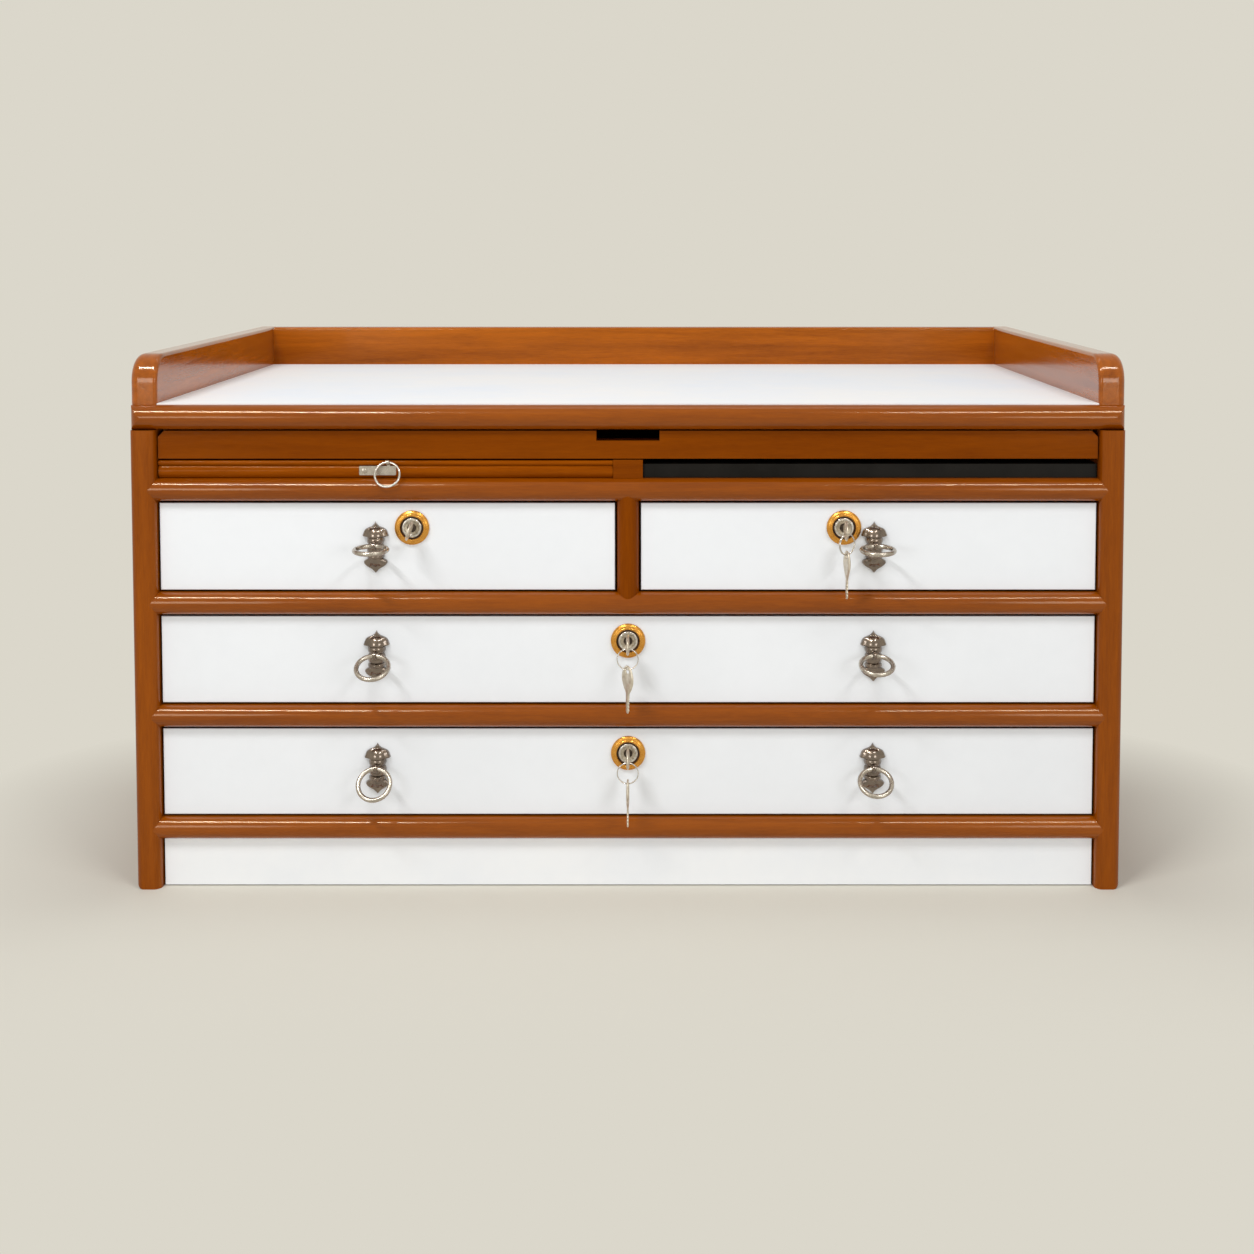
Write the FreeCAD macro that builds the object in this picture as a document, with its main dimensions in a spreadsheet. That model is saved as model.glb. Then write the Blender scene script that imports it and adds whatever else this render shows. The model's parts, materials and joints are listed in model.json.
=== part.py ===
import FreeCAD, Part
import os
import re
import Sketcher
from FreeCAD import Placement, Rotation, Vector

# Driving sizes in millimetres and degrees: name, value, meaning.
SIZES = [
    ("width", 800, "outside of one side panel to outside of the other"),
    ("depth", 420, "nose of the rails to the rear of the back panel"),
    ("side_thick", 20, "side panel thickness"),
    ("side_round", 6, "round on the inner front edge of a side panel"),
    ("foot_round", 6, "round on the outer edges of a side panel"),
    ("plinth_space", 39.5, "floor to the underside of the bottom rail"),
    ("plinth_lift", 1, "plinth panel clear of the floor"),
    ("plinth_thick", 18, "plinth panel thickness"),
    ("rail_height", 18.5, "rail thickness, which is also its bullnose"),
    ("rail_depth", 45, "rail from nose to rear"),
    ("dust_thick", 6, "dust board thickness"),
    ("post_width", 18, "centre post width"),
    ("post_recess", 1.2, "nose of the centre post behind the rail noses"),
    ("partition_thick", 12, "partition behind the centre post"),
    ("slide_post_width", 24, "post between the writing board and the tray"),
    ("slide_space", 15, "height of the space for the writing board and the tray"),
    ("fascia_space", 24.5, "height of the space for the pencil drawer"),
    ("top_thick", 20, "top board thickness, which is also its bullnose"),
    ("top_end_round", 9, "round in plan on the front corners of the top board"),
    ("laminate_thick", 1, "white sheet on the top board"),
    ("gallery_height", 40, "gallery above the top board"),
    ("gallery_thick", 20, "side gallery on the top board"),
    ("gallery_proud", 2, "side gallery past the end of the top board"),
    ("gallery_back_thick", 18, "back gallery thickness"),
    ("gallery_nose", 22, "round at the front end of a side gallery"),
    ("gallery_round", 7, "round on the outer top edge of a side gallery"),
    ("gallery_soft", 3, "small round on the other gallery edges"),
    ("back_thick", 6, "back panel thickness"),
    ("back_inset", 2, "back panel in from the outside of the side panels"),
    ("screw_shank", 3.5, "back panel screw diameter"),
    ("screw_head", 7, "back panel screw head diameter"),
    ("screw_length", 22, "back panel screw length"),
    ("screw_inset", 40, "end screws from the ends of the back panel"),
    ("front_height", 71, "drawer front height"),
    ("front_thick", 18, "drawer front thickness"),
    ("front_gap", 1.5, "gap round a drawer front"),
    ("front_recess", 8, "fronts behind the rail noses"),
    ("front_edge", 0.8, "round on the edges of a drawer front"),
    ("box_side", 12, "drawer box side and back thickness"),
    ("box_height", 58, "drawer box side height"),
    ("box_bottom", 4, "drawer bottom thickness"),
    ("bottom_raise", 6, "drawer bottom above the lower edge of the sides"),
    ("box_rear_gap", 14, "drawer box clear of the back panel"),
    ("run_gap", 0.3, "running gap under what slides"),
    ("fascia_gap", 1, "gap round the pencil drawer front"),
    ("fascia_thick", 16, "pencil drawer front thickness"),
    ("notch_width", 51, "finger notch width"),
    ("notch_drop", 8, "finger notch depth"),
    ("corner_cut", 5, "cut at the top corners of the pencil drawer front"),
    ("pencil_bottom", 3, "pencil drawer bottom thickness"),
    ("guide_size", 6, "guide strip that carries the pencil drawer, width and height"),
    ("guide_raise", 8, "guide strip above the lower edge of the pencil drawer side"),
    ("board_thick", 14.2, "writing board thickness"),
    ("board_bead", 4.2, "bead along the top of the writing board's edge"),
    ("tray_height", 11, "tray front and wall height"),
    ("tray_front_thick", 8, "tray front thickness"),
    ("tray_wall", 2, "tray wall and floor thickness"),
    ("tray_recess", 3, "tray front behind the other fronts"),
    ("pull_left", 204, "left pulls from the middle of the cabinet"),
    ("pull_right", 199, "right pulls from the middle of the cabinet"),
    ("pull_rise_small", 2.2, "pull eye above the middle of a small front"),
    ("pull_rise_wide", 5.6, "pull eye above the middle of a wide front"),
    ("pull_top", 18.4, "pull eye to the top of the spike"),
    ("pull_tip", 23.6, "pull eye to the lower tip"),
    ("cap_half", 10.6, "half width of the cap"),
    ("cap_base", 6.2, "pull eye up to the underside of the cap"),
    ("spade_half", 9.8, "half width of the spade"),
    ("spade_top", 11.5, "pull eye down to the top of the spade"),
    ("spike_half", 2.2, "half width of the foot of the spike and of the tip"),
    ("spike_height", 4.2, "spike above its foot"),
    ("spike_bow", 0.5, "hollow of the spike's sides"),
    ("tip_height", 3, "tip below its foot"),
    ("cap_lip", 1, "thickness of the cap's edge"),
    ("cap_bow", 1.6, "bow of the cap's shoulders"),
    ("cap_dome", 8.5, "height of the dome in the cap"),
    ("spade_shoulder", 2, "top of the spade down to its widest place"),
    ("spade_bow", 0.8, "bow of the spade's sides"),
    ("spade_dome", 7, "height of the dome in the spade"),
    ("dome_bow", 1.6, "bow of the domes"),
    ("knuckle_drop", 8, "pull eye down to the foot of the middle bead"),
    ("plate_thick", 2.4, "thickness of the flat of a pull plate"),
    ("barrel_radius", 7, "radius of the beaded barrel"),
    ("bead_depth", 0.9, "height of the beads on the barrel"),
    ("eye_out", 10.2, "pull eye in front of the drawer front"),
    ("eye_width", 3, "pull eye width"),
    ("eye_wall", 0.9, "pull eye wall"),
    ("ring_radius", 12.8, "pull ring, middle of the wire"),
    ("ring_wire", 1.9, "pull ring wire radius"),
    ("ring_clear", 0.3, "ring wire clear of its eye"),
    ("tilt_small_left", 87, "ring raised from hanging, left small drawer"),
    ("tilt_small_right", 86, "ring raised from hanging, right small drawer"),
    ("tilt_middle_left", 59, "ring raised from hanging, middle drawer, left"),
    ("tilt_middle_right", 70, "ring raised from hanging, middle drawer, right"),
    ("tilt_bottom_left", 38, "ring raised from hanging, bottom drawer, left"),
    ("tilt_bottom_right", 53, "ring raised from hanging, bottom drawer, right"),
    ("bolt_radius", 2, "pull bolt radius"),
    ("bolt_head", 4, "pull bolt head radius"),
    ("bolt_head_thick", 2.5, "pull bolt head thickness"),
    ("bolt_clear", 0.2, "hole clearance round bolts and lock barrels"),
    ("lock_small_x", 174.5, "small drawer locks from the middle of the cabinet"),
    ("lock_drop", 20, "lock below the upper edge of the front"),
    ("flange_radius", 14, "lock flange radius"),
    ("flange_thick", 3.2, "lock flange thickness"),
    ("flange_bevel", 1.4, "bevel on the lock flange"),
    ("bezel_radius", 9.4, "recess round the plug, radius"),
    ("bezel_drop", 2.4, "recess round the plug, depth"),
    ("lock_barrel", 10, "lock barrel radius"),
    ("barrel_tail", 5, "lock barrel behind the drawer front"),
    ("nut_radius", 14, "lock nut radius"),
    ("nut_thick", 3, "lock nut thickness"),
    ("plug_radius", 8, "lock plug radius"),
    ("plug_clear", 0.05, "running clearance round the plug"),
    ("plug_inset", 0.6, "plug face behind the flange face"),
    ("cam_gap", 0.3, "cam clear of the lock barrel"),
    ("cam_thick", 3, "cam thickness"),
    ("cam_width", 12, "cam width"),
    ("bolt_throw", 6.5, "how far the cam enters the rail above"),
    ("mortise_clear", 1.5, "room round the cam in its mortise"),
    ("key_thick", 1.6, "key thickness"),
    ("blade_height", 6, "key blade height"),
    ("blade_length", 15, "key blade length"),
    ("keyway_clear", 0.15, "keyway clear of the blade"),
    ("bow_length", 24, "key bow length"),
    ("bow_width", 16, "key bow width"),
    ("key_hole", 2.2, "hole in the key bow, radius"),
    ("key_hole_edge", 2.2, "metal between the hole and the end of the bow"),
    ("split_radius", 8.4, "split ring, middle of the wire"),
    ("split_wire", 0.6, "split ring wire radius"),
    ("split_seat", 0.55, "split ring wire clear of the key holes"),
    ("key_turn_small_left", 17, "turn of the key in the left small lock"),
    ("ring_turn_small_right", 40, "turn of the split ring on the right small key"),
    ("spare_turn_small_right", 10, "turn of the spare key of the right small drawer"),
    ("spare_turn_middle", 35, "turn of the spare key of the middle drawer"),
    ("board_pull_x", 193, "writing board pull left of the middle of the cabinet"),
    ("strip_length", 30, "writing board pull plate length"),
    ("strip_height", 7.6, "writing board pull plate height"),
    ("strip_thick", 1.2, "writing board pull plate thickness"),
    ("strip_lead", 6, "plate past the ring eye on the right"),
    ("strip_seat", 0.8, "plate let into the writing board's edge"),
    ("strip_drop", 1.1, "plate below the middle of the writing board's edge"),
    ("strip_screw", 2.2, "writing board pull screw head radius"),
    ("board_eye_out", 4, "writing board ring eye in front of the board"),
    ("board_eye_lift", 3.4, "writing board ring eye above its plate"),
    ("board_eye_width", 2.4, "writing board ring eye width"),
    ("board_eye_wall", 0.8, "writing board ring eye wall"),
    ("board_ring_radius", 10, "writing board ring, middle of the wire"),
    ("board_ring_wire", 0.95, "writing board ring wire radius"),
    ("tilt_board", 22, "writing board ring raised from hanging"),
]

# Places that follow from the sizes: name, formula, meaning.
PLACES = [
    ("tilt_most", "max(tilt_small_left; tilt_small_right; tilt_middle_left; tilt_middle_right; "
     "tilt_bottom_left; tilt_bottom_right)", "most raised ring"),
    ("reach", "eye_out + 2 * ring_radius * sin(tilt_most * 1 deg) + ring_wire - front_recess",
     "rings in front of the rail noses"),
    ("inner", "width / 2 - side_thick", "middle to the inside of a side panel"),
    ("nose", "(reach - depth) / 2", "front plane of the rails"),
    ("face", "nose + front_recess", "front plane of the drawer fronts"),
    ("front_rear", "face + front_thick", "rear of the drawer fronts"),
    ("rail_rear", "nose + rail_depth", "rear of the rails"),
    ("rear", "nose + depth", "rear of the cabinet"),
    ("cavity_rear", "rear - back_thick", "front of the back panel"),
    ("pitch", "rail_height + front_height + 2 * front_gap", "one rail to the next"),
    ("bottom_level", "plinth_space + rail_height", "top of the bottom rail"),
    ("middle_level", "bottom_level + pitch", "top of the middle rail"),
    ("upper_level", "middle_level + pitch", "top of the upper rail"),
    ("slide_level", "upper_level + pitch", "top of the slide rail"),
    ("fascia_level", "slide_level + slide_space", "top of the slide space"),
    ("under_top", "fascia_level + fascia_space", "underside of the top board"),
    ("deck", "under_top + top_thick", "upper face of the top board"),
    ("crest", "deck + gallery_height", "top of the gallery"),
    ("box_end", "cavity_rear - box_rear_gap", "rear of the drawer boxes"),
    ("pencil_low", "fascia_level + fascia_gap", "lower edge of the pencil drawer"),
    ("pencil_high", "under_top - fascia_gap", "upper edge of the pencil drawer"),
    ("lock_tail", "front_rear + barrel_tail", "rear of the lock barrel"),
    ("cam_front", "lock_tail + cam_gap", "front of the cam"),
    ("plug_face", "face - flange_thick + plug_inset", "front of the lock plug"),
    ("cam_reach", "lock_drop + front_gap + bolt_throw", "lock axis to the end of the cam"),
    ("hole_out", "bow_length - key_hole_edge - key_hole", "plug face to the hole in the bow"),
    ("eye_bore", "ring_radius - sqrt(ring_radius ^ 2 - eye_width ^ 2 / 4) + ring_wire + ring_clear",
     "bore of a pull eye"),
    ("board_eye_bore", "board_ring_radius - sqrt(board_ring_radius ^ 2 - board_eye_width ^ 2 / 4)"
     " + board_ring_wire + ring_clear", "bore of the writing board's eye"),
    ("hang", "key_hole - split_wire - split_seat", "split ring wire below the middle of a key hole"),
    ("board_low", "slide_level + run_gap", "underside of the writing board and the tray"),
    ("strip_low", "board_low + board_thick / 2 - strip_height / 2 - strip_drop", "lower edge of the strip"),
    ("board_eye_z", "strip_low + strip_height + board_eye_lift", "height of the writing board's eye"),
]

doc = FreeCAD.newDocument("drawer_unit")
HOME = {}


def rule(text):
    """Formula with each named size led by the sheet that holds it."""
    return re.sub(r"[a-z][a-z0-9_]*", lambda word: HOME.get(word.group(), "") + word.group(), text)


def make_sheet(name, rows):
    """Spreadsheet with a meaning, a value and an alias on each row."""
    sheet = doc.addObject("Spreadsheet::Sheet", name)
    for number, (alias, value, meaning) in enumerate(rows, start=1):
        sheet.set(f"A{number}", meaning)
        sheet.set(f"B{number}", str(value))
        sheet.setAlias(f"B{number}", alias)
    doc.recompute()
    HOME.update({alias: name + "." for alias, _, _ in rows})


make_sheet("dims", SIZES)
make_sheet("places", [(alias, "=" + rule(formula), meaning) for alias, formula, meaning in PLACES])

gauge = doc.addObject("App::FeaturePython", "gauge")
gauge.addProperty("App::PropertyFloat", "reading")


def size(text):
    """Present value of a formula."""
    gauge.setExpression("reading", rule(text))
    gauge.recompute()
    return gauge.reading


def place(piece, x="0", y="0", z="0", axis=None, turn="0"):
    """Position by formulas, with a turn in degrees about an axis where one is given."""
    if axis:
        piece.Placement = Placement(Vector(), Rotation(axis, 1))
        piece.setExpression("Placement.Rotation.Angle", rule(f"({turn}) * 1 deg"))
    for name, text in zip("xyz", (x, y, z)):
        piece.setExpression("Placement.Base." + name, rule(text))
    return piece


def block(label, x, y, z):
    """Rectangular board between two formulas on each axis."""
    board = doc.addObject("Part::Box", label)
    for name, (low, high) in zip(("Length", "Width", "Height"), (x, y, z)):
        board.setExpression(name, rule(f"({high}) - ({low})"))
    return place(board, x[0], y[0], z[0])


def rod(label, radius, span, x="0", y="0", z="0", along="y"):
    """Round bar between two formulas along the Y axis or the X axis."""
    bar = doc.addObject("Part::Cylinder", label)
    bar.setExpression("Radius", rule(radius))
    bar.setExpression("Height", rule(f"({span[1]}) - ({span[0]})"))
    if along == "y":
        return place(bar, x, span[0], z, Vector(1, 0, 0), "-90")
    return place(bar, span[0], y, z, Vector(0, 1, 0), "90")


def joined(label, pieces):
    """One solid from pieces that meet."""
    whole = doc.addObject("Part::MultiFuse", label)
    whole.Shapes = pieces
    return whole


def group(label, pieces):
    """Separate solids that share a name."""
    bundle = doc.addObject("Part::Compound", label)
    bundle.Links = pieces
    return bundle


def cut(label, base, tools):
    """Base less all of the tools."""
    result = doc.addObject("Part::Cut", label)
    result.Base = base
    result.Tool = tools[0] if len(tools) == 1 else group(label + "_tools", tools)
    return result


def hold(sketch, part, vertex, values):
    """Tie a point of a sketch to formulas for its two coordinates."""
    for kind, axis, text in zip(("DistanceX", "DistanceY"), (-2, -1), values):
        if text is None:
            continue
        if text == "0":
            sketch.addConstraint(Sketcher.Constraint("PointOnObject", part, vertex, axis))
            continue
        number = sketch.addConstraint(Sketcher.Constraint(kind, -1, 1, part, vertex, size(text)))
        name = f"{kind}_{part}_{vertex}"
        sketch.renameConstraint(number, name)
        sketch.setExpression("Constraints." + name, rule(text))


def draw(body, role, outline):
    """
    Closed outline on an origin plane, with its corners tied to formulas. A corner is (u, v), or
    (u, v, centre u, centre v) where an arc leaves it and turns left about that centre.
    """
    sketch = body.newObject("Sketcher::SketchObject", body.Name + "_outline")
    plane = next(item for item in body.Origin.OriginFeatures if item.Role == role)
    sketch.AttachmentSupport = [(plane, "")]
    sketch.MapMode = "FlatFace"
    corners = [Vector(size(corner[0]), size(corner[1]), 0) for corner in outline]
    for number, corner in enumerate(outline):
        start = corners[number]
        end = corners[(number + 1) % len(corners)]
        if len(corner) == 2:
            sketch.addGeometry(Part.LineSegment(start, end))
            continue
        centre = Vector(size(corner[2]), size(corner[3]), 0)
        circle = Part.Circle(centre, Vector(0, 0, 1), (start - centre).Length)
        sketch.addGeometry(Part.ArcOfCircle(circle, circle.parameter(start), circle.parameter(end)))
    for number, corner in enumerate(outline):
        before = (number - 1) % len(outline)
        sketch.addConstraint(Sketcher.Constraint("Coincident", before, 2, number, 1))
        hold(sketch, number, 1, corner[:2])
        if len(corner) > 2:
            chord = corners[(number + 1) % len(corners)] - corners[number]
            upright = abs(chord.y) > abs(chord.x)
            hold(sketch, number, 3, (corner[2], None) if upright else (None, corner[3]))
    return sketch


def padded(label, role, outline, length, symmetric=False):
    """Body padded from an outline."""
    body = doc.addObject("PartDesign::Body", label)
    pad = body.newObject("PartDesign::Pad", label + "_pad")
    pad.Profile = draw(body, role, outline)
    pad.SideType = "Symmetric" if symmetric else "One side"
    pad.setExpression("Length", rule(length))
    body.Tip = pad
    return body


def turned(label, outline):
    """Body turned about the Y axis from an outline of radius and station."""
    body = doc.addObject("PartDesign::Body", label)
    sketch = draw(body, "XY_Plane", outline)
    turn = body.newObject("PartDesign::Revolution", label + "_turn")
    turn.Profile = sketch
    turn.ReferenceAxis = (sketch, ["V_Axis"])
    body.Tip = turn
    return body


def soften(body, radius, chosen):
    """Fillet the edges of the body whose bounds pass the test."""
    doc.recompute()
    base = body.Tip
    edges = [f"Edge{number}" for number, edge in enumerate(base.Shape.Edges, start=1)
             if chosen(edge.BoundBox)]
    fillet = body.newObject("PartDesign::Fillet", body.Name + "_round")
    fillet.Base = (base, edges)
    fillet.setExpression("Radius", rule(radius))
    body.Tip = fillet
    return body


def panel(label, x, y, z):
    """Body of a rectangular panel between two formulas on each axis, for edges that get rounds."""
    wide, deep = (f"({high}) - ({low})" for low, high in (x, y))
    outline = [("0", "0"), (wide, "0"), (wide, deep), ("0", deep)]
    return place(padded(label, "XY_Plane", outline, f"({z[1]}) - ({z[0]})"), x[0], y[0], z[0])


def bullnose(label, thick, run, length, y, z):
    """Body of a board along X whose front edge is a half round."""
    half = f"({thick}) / 2"
    outline = [(half, thick, half, half), (half, "0"), (run, "0"), (run, thick)]
    return place(padded(label, "YZ_Plane", outline, length, symmetric=True), "0", y, z)


def near(value, target):
    """True where a length is at the target to a hundredth."""
    return abs(value - target) < 0.01


def flat_at(box, axis, value):
    """True where an edge lies all at one value on an axis."""
    return near(getattr(box, axis + "Min"), value) and near(getattr(box, axis + "Max"), value)


PIECES = []


def keep(piece):
    """Add a finished piece to those that are written out."""
    PIECES.append(piece)
    return piece


# Back panel screws, countersunk flush, in a row up the rear edge of each side panel.
SCREW_ROW = 4


def back_screw(label, x, z):
    """Countersunk screw along Y."""
    sink = "(screw_head - screw_shank) / 2"
    shank = rod(label + "_shank", "screw_shank / 2", ("rear - screw_length", f"rear - {sink}"), x=x, z=z)
    head = doc.addObject("Part::Cone", label + "_head")
    head.setExpression("Radius1", rule("screw_shank / 2"))
    head.setExpression("Radius2", rule("screw_head / 2"))
    head.setExpression("Height", rule(sink))
    place(head, x, f"rear - {sink}", z, Vector(1, 0, 0), "-90")
    return joined(label, [shank, head])


def screw_row(hand, side):
    """Screws of one side, evenly spaced."""
    step = f"(under_top - plinth_lift - 2 * screw_inset) / {SCREW_ROW - 1}"
    return [back_screw(f"back_screw_{hand}_{number}", f"{side} * (width / 2 - side_thick / 2)",
                       f"plinth_lift + screw_inset + {number} * {step}") for number in range(SCREW_ROW)]


screws = {"left": screw_row("left", -1), "right": screw_row("right", 1)}
keep(group("carcass_screws", screws["left"] + screws["right"]))


def side_panel(hand):
    """Side panel with rounded front edges and foot, bored for the screws."""
    inside = ("-width / 2", "-inner") if hand == "left" else ("inner", "width / 2")
    body = panel(hand + "_side_blank", inside, ("nose", "cavity_rear"), ("0", "under_top"))
    inner_edge, outer_edge = (size("side_thick"), 0) if hand == "left" else (0, size("side_thick"))
    soften(body, "side_round", lambda box: flat_at(box, "X", inner_edge) and flat_at(box, "Y", 0))
    soften(body, "foot_round", lambda box: flat_at(box, "X", outer_edge)
           and (flat_at(box, "Y", 0) or flat_at(box, "Z", 0)))
    keep(cut(hand + "_side_panel", body, screws[hand]))
    return body


sides = [side_panel("left"), side_panel("right")]
back_sheet = block("back_sheet", ("-width / 2 + back_inset", "width / 2 - back_inset"),
                   ("cavity_rear", "rear"), ("plinth_lift", "under_top"))
keep(cut("back_panel", back_sheet, screws["left"] + screws["right"]))

# Top board, whose front corners are round in plan, its white sheet and the gallery round it.
top_blank = bullnose("top_blank", "top_thick", "depth", "width", "nose", "under_top")
top_waste_left = padded("top_waste_left", "XY_Plane", [
    ("-top_thick", "-top_thick"), ("-top_thick", "top_end_round"),
    ("0", "top_end_round", "top_end_round", "top_end_round"),
    ("top_end_round", "0"), ("top_end_round", "-top_thick")], "top_thick")
place(top_waste_left, "-width / 2", "nose", "under_top")
top_waste_right = padded("top_waste_right", "XY_Plane", [
    ("top_thick", "-top_thick"), ("-top_end_round", "-top_thick"),
    ("-top_end_round", "0", "-top_end_round", "top_end_round"),
    ("0", "top_end_round"), ("top_thick", "top_end_round")], "top_thick")
place(top_waste_right, "width / 2", "nose", "under_top")
keep(cut("top_board", top_blank, [top_waste_left, top_waste_right]))
keep(block("top_laminate", ("-width / 2 + gallery_thick", "width / 2 - gallery_thick"),
           ("nose + top_thick / 2", "rear - gallery_back_thick"), ("deck", "deck + laminate_thick")))
gallery_wide = "gallery_thick + gallery_proud"


def side_gallery(label, x, outer):
    """Side gallery with a round front end and a rounder outer edge."""
    long, shoulder = "depth - top_thick / 2", "gallery_height - gallery_nose"
    outline = [("0", shoulder), ("0", "0"), (long, "0"), (long, "gallery_height"),
               ("gallery_nose", "gallery_height", "gallery_nose", shoulder)]
    body = place(padded(label, "YZ_Plane", outline, gallery_wide), x, "nose + top_thick / 2", "deck")
    doc.recompute()
    inner = size(gallery_wide) - outer
    end = size(long)
    upper = (lambda box: box.ZMax > 0.01 and not flat_at(box, "Y", end))
    soften(body, "gallery_round", lambda box: flat_at(box, "X", outer) and upper(box))
    soften(body, "gallery_soft", lambda box: flat_at(box, "X", inner) and upper(box))
    return keep(body)


side_gallery("gallery_left", "-width / 2 - gallery_proud", 0)
side_gallery("gallery_right", "width / 2 - gallery_thick", size(gallery_wide))
back_gallery = panel("gallery_back", ("-width / 2 + gallery_thick", "width / 2 - gallery_thick"),
                     ("rear - gallery_back_thick", "rear"), ("deck", "crest"))
crown = size("gallery_height")
keep(soften(back_gallery, "gallery_soft", lambda box: flat_at(box, "Z", crown) and box.XLength > crown))

# Rails with noses coped over the rounds of the side panels, and mortises for the lock cams.
RAILS = [
    ("slide_rail", "slide_level", ("-lock_small_x", "lock_small_x")),
    ("upper_rail", "upper_level", ("0",)),
    ("middle_rail", "middle_level", ("0",)),
    ("bottom_rail", "bottom_level", ()),
]
rail_blanks = {}
for name, level, lock_places in RAILS:
    blank = bullnose(name + "_blank", "rail_height", "rail_depth", "2 * (inner + side_round)",
                     "nose", f"{level} - rail_height")
    mortises = [block(f"{name}_mortise_{number}",
                      (f"{x} - cam_reach - mortise_clear", f"{x} + cam_reach + mortise_clear"),
                      ("cam_front - mortise_clear", "cam_front + cam_thick + mortise_clear"),
                      (f"{level} - rail_height", f"{level} - rail_height + bolt_throw + mortise_clear"))
                for number, x in enumerate(lock_places)]
    rail_blanks[name] = blank
    keep(cut(name, blank, sides + mortises))
keep(group("dust_boards", [block(level.replace("level", "dust_board"), ("-inner", "inner"),
                                 ("rail_rear", "cavity_rear"), (f"{level} - dust_thick", level))
                           for _, level, _ in RAILS]))

# Centre post, coped at both ends onto the rail noses, and the partition behind it.
post_half = "post_width / 2"
post_depth = "rail_depth - post_recess"
post_outline = [("0", post_half, post_half, post_half), ("post_width", post_half),
                ("post_width", post_depth), ("0", post_depth)]
post = padded("centre_post_blank", "XY_Plane", post_outline, "pitch")
place(post, "-post_width / 2", "nose + post_recess", "upper_level - rail_height / 2")
keep(cut("centre_post", post, [rail_blanks["upper_rail"], rail_blanks["slide_rail"]]))
keep(block("centre_partition", ("-partition_thick / 2", "partition_thick / 2"), ("rail_rear", "cavity_rear"),
           ("upper_level", "slide_level - dust_thick")))
keep(block("slide_post", ("-slide_post_width / 2", "slide_post_width / 2"), ("face", "cavity_rear"),
           ("slide_level", "fascia_level")))
keep(block("plinth_panel", ("-inner + front_gap", "inner - front_gap"), ("face", "face + plinth_thick"),
           ("plinth_lift", "plinth_space")))


def front_bore(label, radius, x, z):
    """Bore through a drawer front that clears a bolt or a lock barrel."""
    return rod(label, radius + " + bolt_clear", ("face", "front_rear"), x=x, z=z)


def drawer_box(label, x, low, high, floor, start):
    """Two sides, a back and a bottom as separate boards, behind a front that ends at start."""
    left, right = x
    inside = (f"{left} + box_side", f"{right} - box_side")
    run = (start, "box_end")
    return group(label, [
        block(label + "_left_side", (left, inside[0]), run, (low, high)),
        block(label + "_right_side", (inside[1], right), run, (low, high)),
        block(label + "_bottom", inside, run, floor),
        block(label + "_rear", inside, ("box_end - box_side", "box_end"), (floor[1], high)),
    ])


def mirrored(edges):
    """Edges and their mirror images across the middle plane."""
    return edges + [edge.mirror(Vector(), Vector(1, 0, 0)) for edge in edges]


def bowed(start, end, rise):
    """Arc edge from start to end whose middle stands off the chord to the left by rise."""
    chord = end - start
    side = Vector(chord.z, 0, -chord.x).normalize()
    return Part.Arc(start, (start + end) * 0.5 - side * rise, end).toShape()


def pull_outline():
    """Flat of the pull: a spiked cap, a waist and a spade with a tip, in the plane of the front."""
    spike_foot = Vector(size("spike_half"), 0, size("pull_top - spike_height"))
    cap_edge = Vector(size("cap_half"), 0, size("cap_base + cap_lip"))
    cap_under = Vector(size("cap_half - cap_lip"), 0, size("cap_base"))
    waist_high = Vector(size("barrel_radius"), 0, size("cap_base"))
    waist_low = Vector(size("barrel_radius"), 0, -size("spade_top"))
    shoulder = Vector(size("spade_half"), 0, -size("spade_top + spade_shoulder"))
    tip_foot = Vector(size("spike_half"), 0, -size("pull_tip - tip_height"))
    spike = Vector(0, 0, size("pull_top"))
    tip = Vector(0, 0, -size("pull_tip"))
    half = [
        bowed(spike, spike_foot, size("-spike_bow")),
        bowed(spike_foot, cap_edge, size("cap_bow")),
        Part.LineSegment(cap_edge, cap_under).toShape(),
        Part.LineSegment(cap_under, waist_high).toShape(),
        Part.LineSegment(waist_high, waist_low).toShape(),
        bowed(waist_low, shoulder, size("spade_bow")),
        bowed(shoulder, tip_foot, size("spade_bow")),
        Part.LineSegment(tip_foot, tip).toShape(),
    ]
    return Part.Face(Part.Wire(Part.__sortEdges__(mirrored(half))))


def pull_core():
    """Half-turned beaded barrel that ends in a dome in the cap and another in the spade."""
    neck = size("barrel_radius - bead_depth")
    rings = [size("cap_base"), 0, -size("knuckle_drop"), -size("spade_top")]
    edges = []
    for upper, lower in zip(rings, rings[1:]):
        crest = Vector(neck + size("bead_depth"), 0, (upper + lower) / 2)
        edges.append(Part.Arc(Vector(neck, 0, upper), crest, Vector(neck, 0, lower)).toShape())
    cap_peak = Vector(0, 0, rings[0] + size("cap_dome"))
    cap_foot = Vector(size("barrel_radius"), 0, rings[0])
    spade_peak = Vector(0, 0, rings[-1] - size("spade_dome"))
    edges += [
        bowed(cap_peak, cap_foot, size("dome_bow")),
        Part.LineSegment(cap_foot, Vector(neck, 0, rings[0])).toShape(),
        bowed(Vector(neck, 0, rings[-1]), spade_peak, size("dome_bow")),
        Part.LineSegment(spade_peak, cap_peak).toShape(),
    ]
    profile = Part.Face(Part.Wire(Part.__sortEdges__(edges)))
    return profile.revolve(Vector(), Vector(0, 0, 1), -180)


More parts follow.
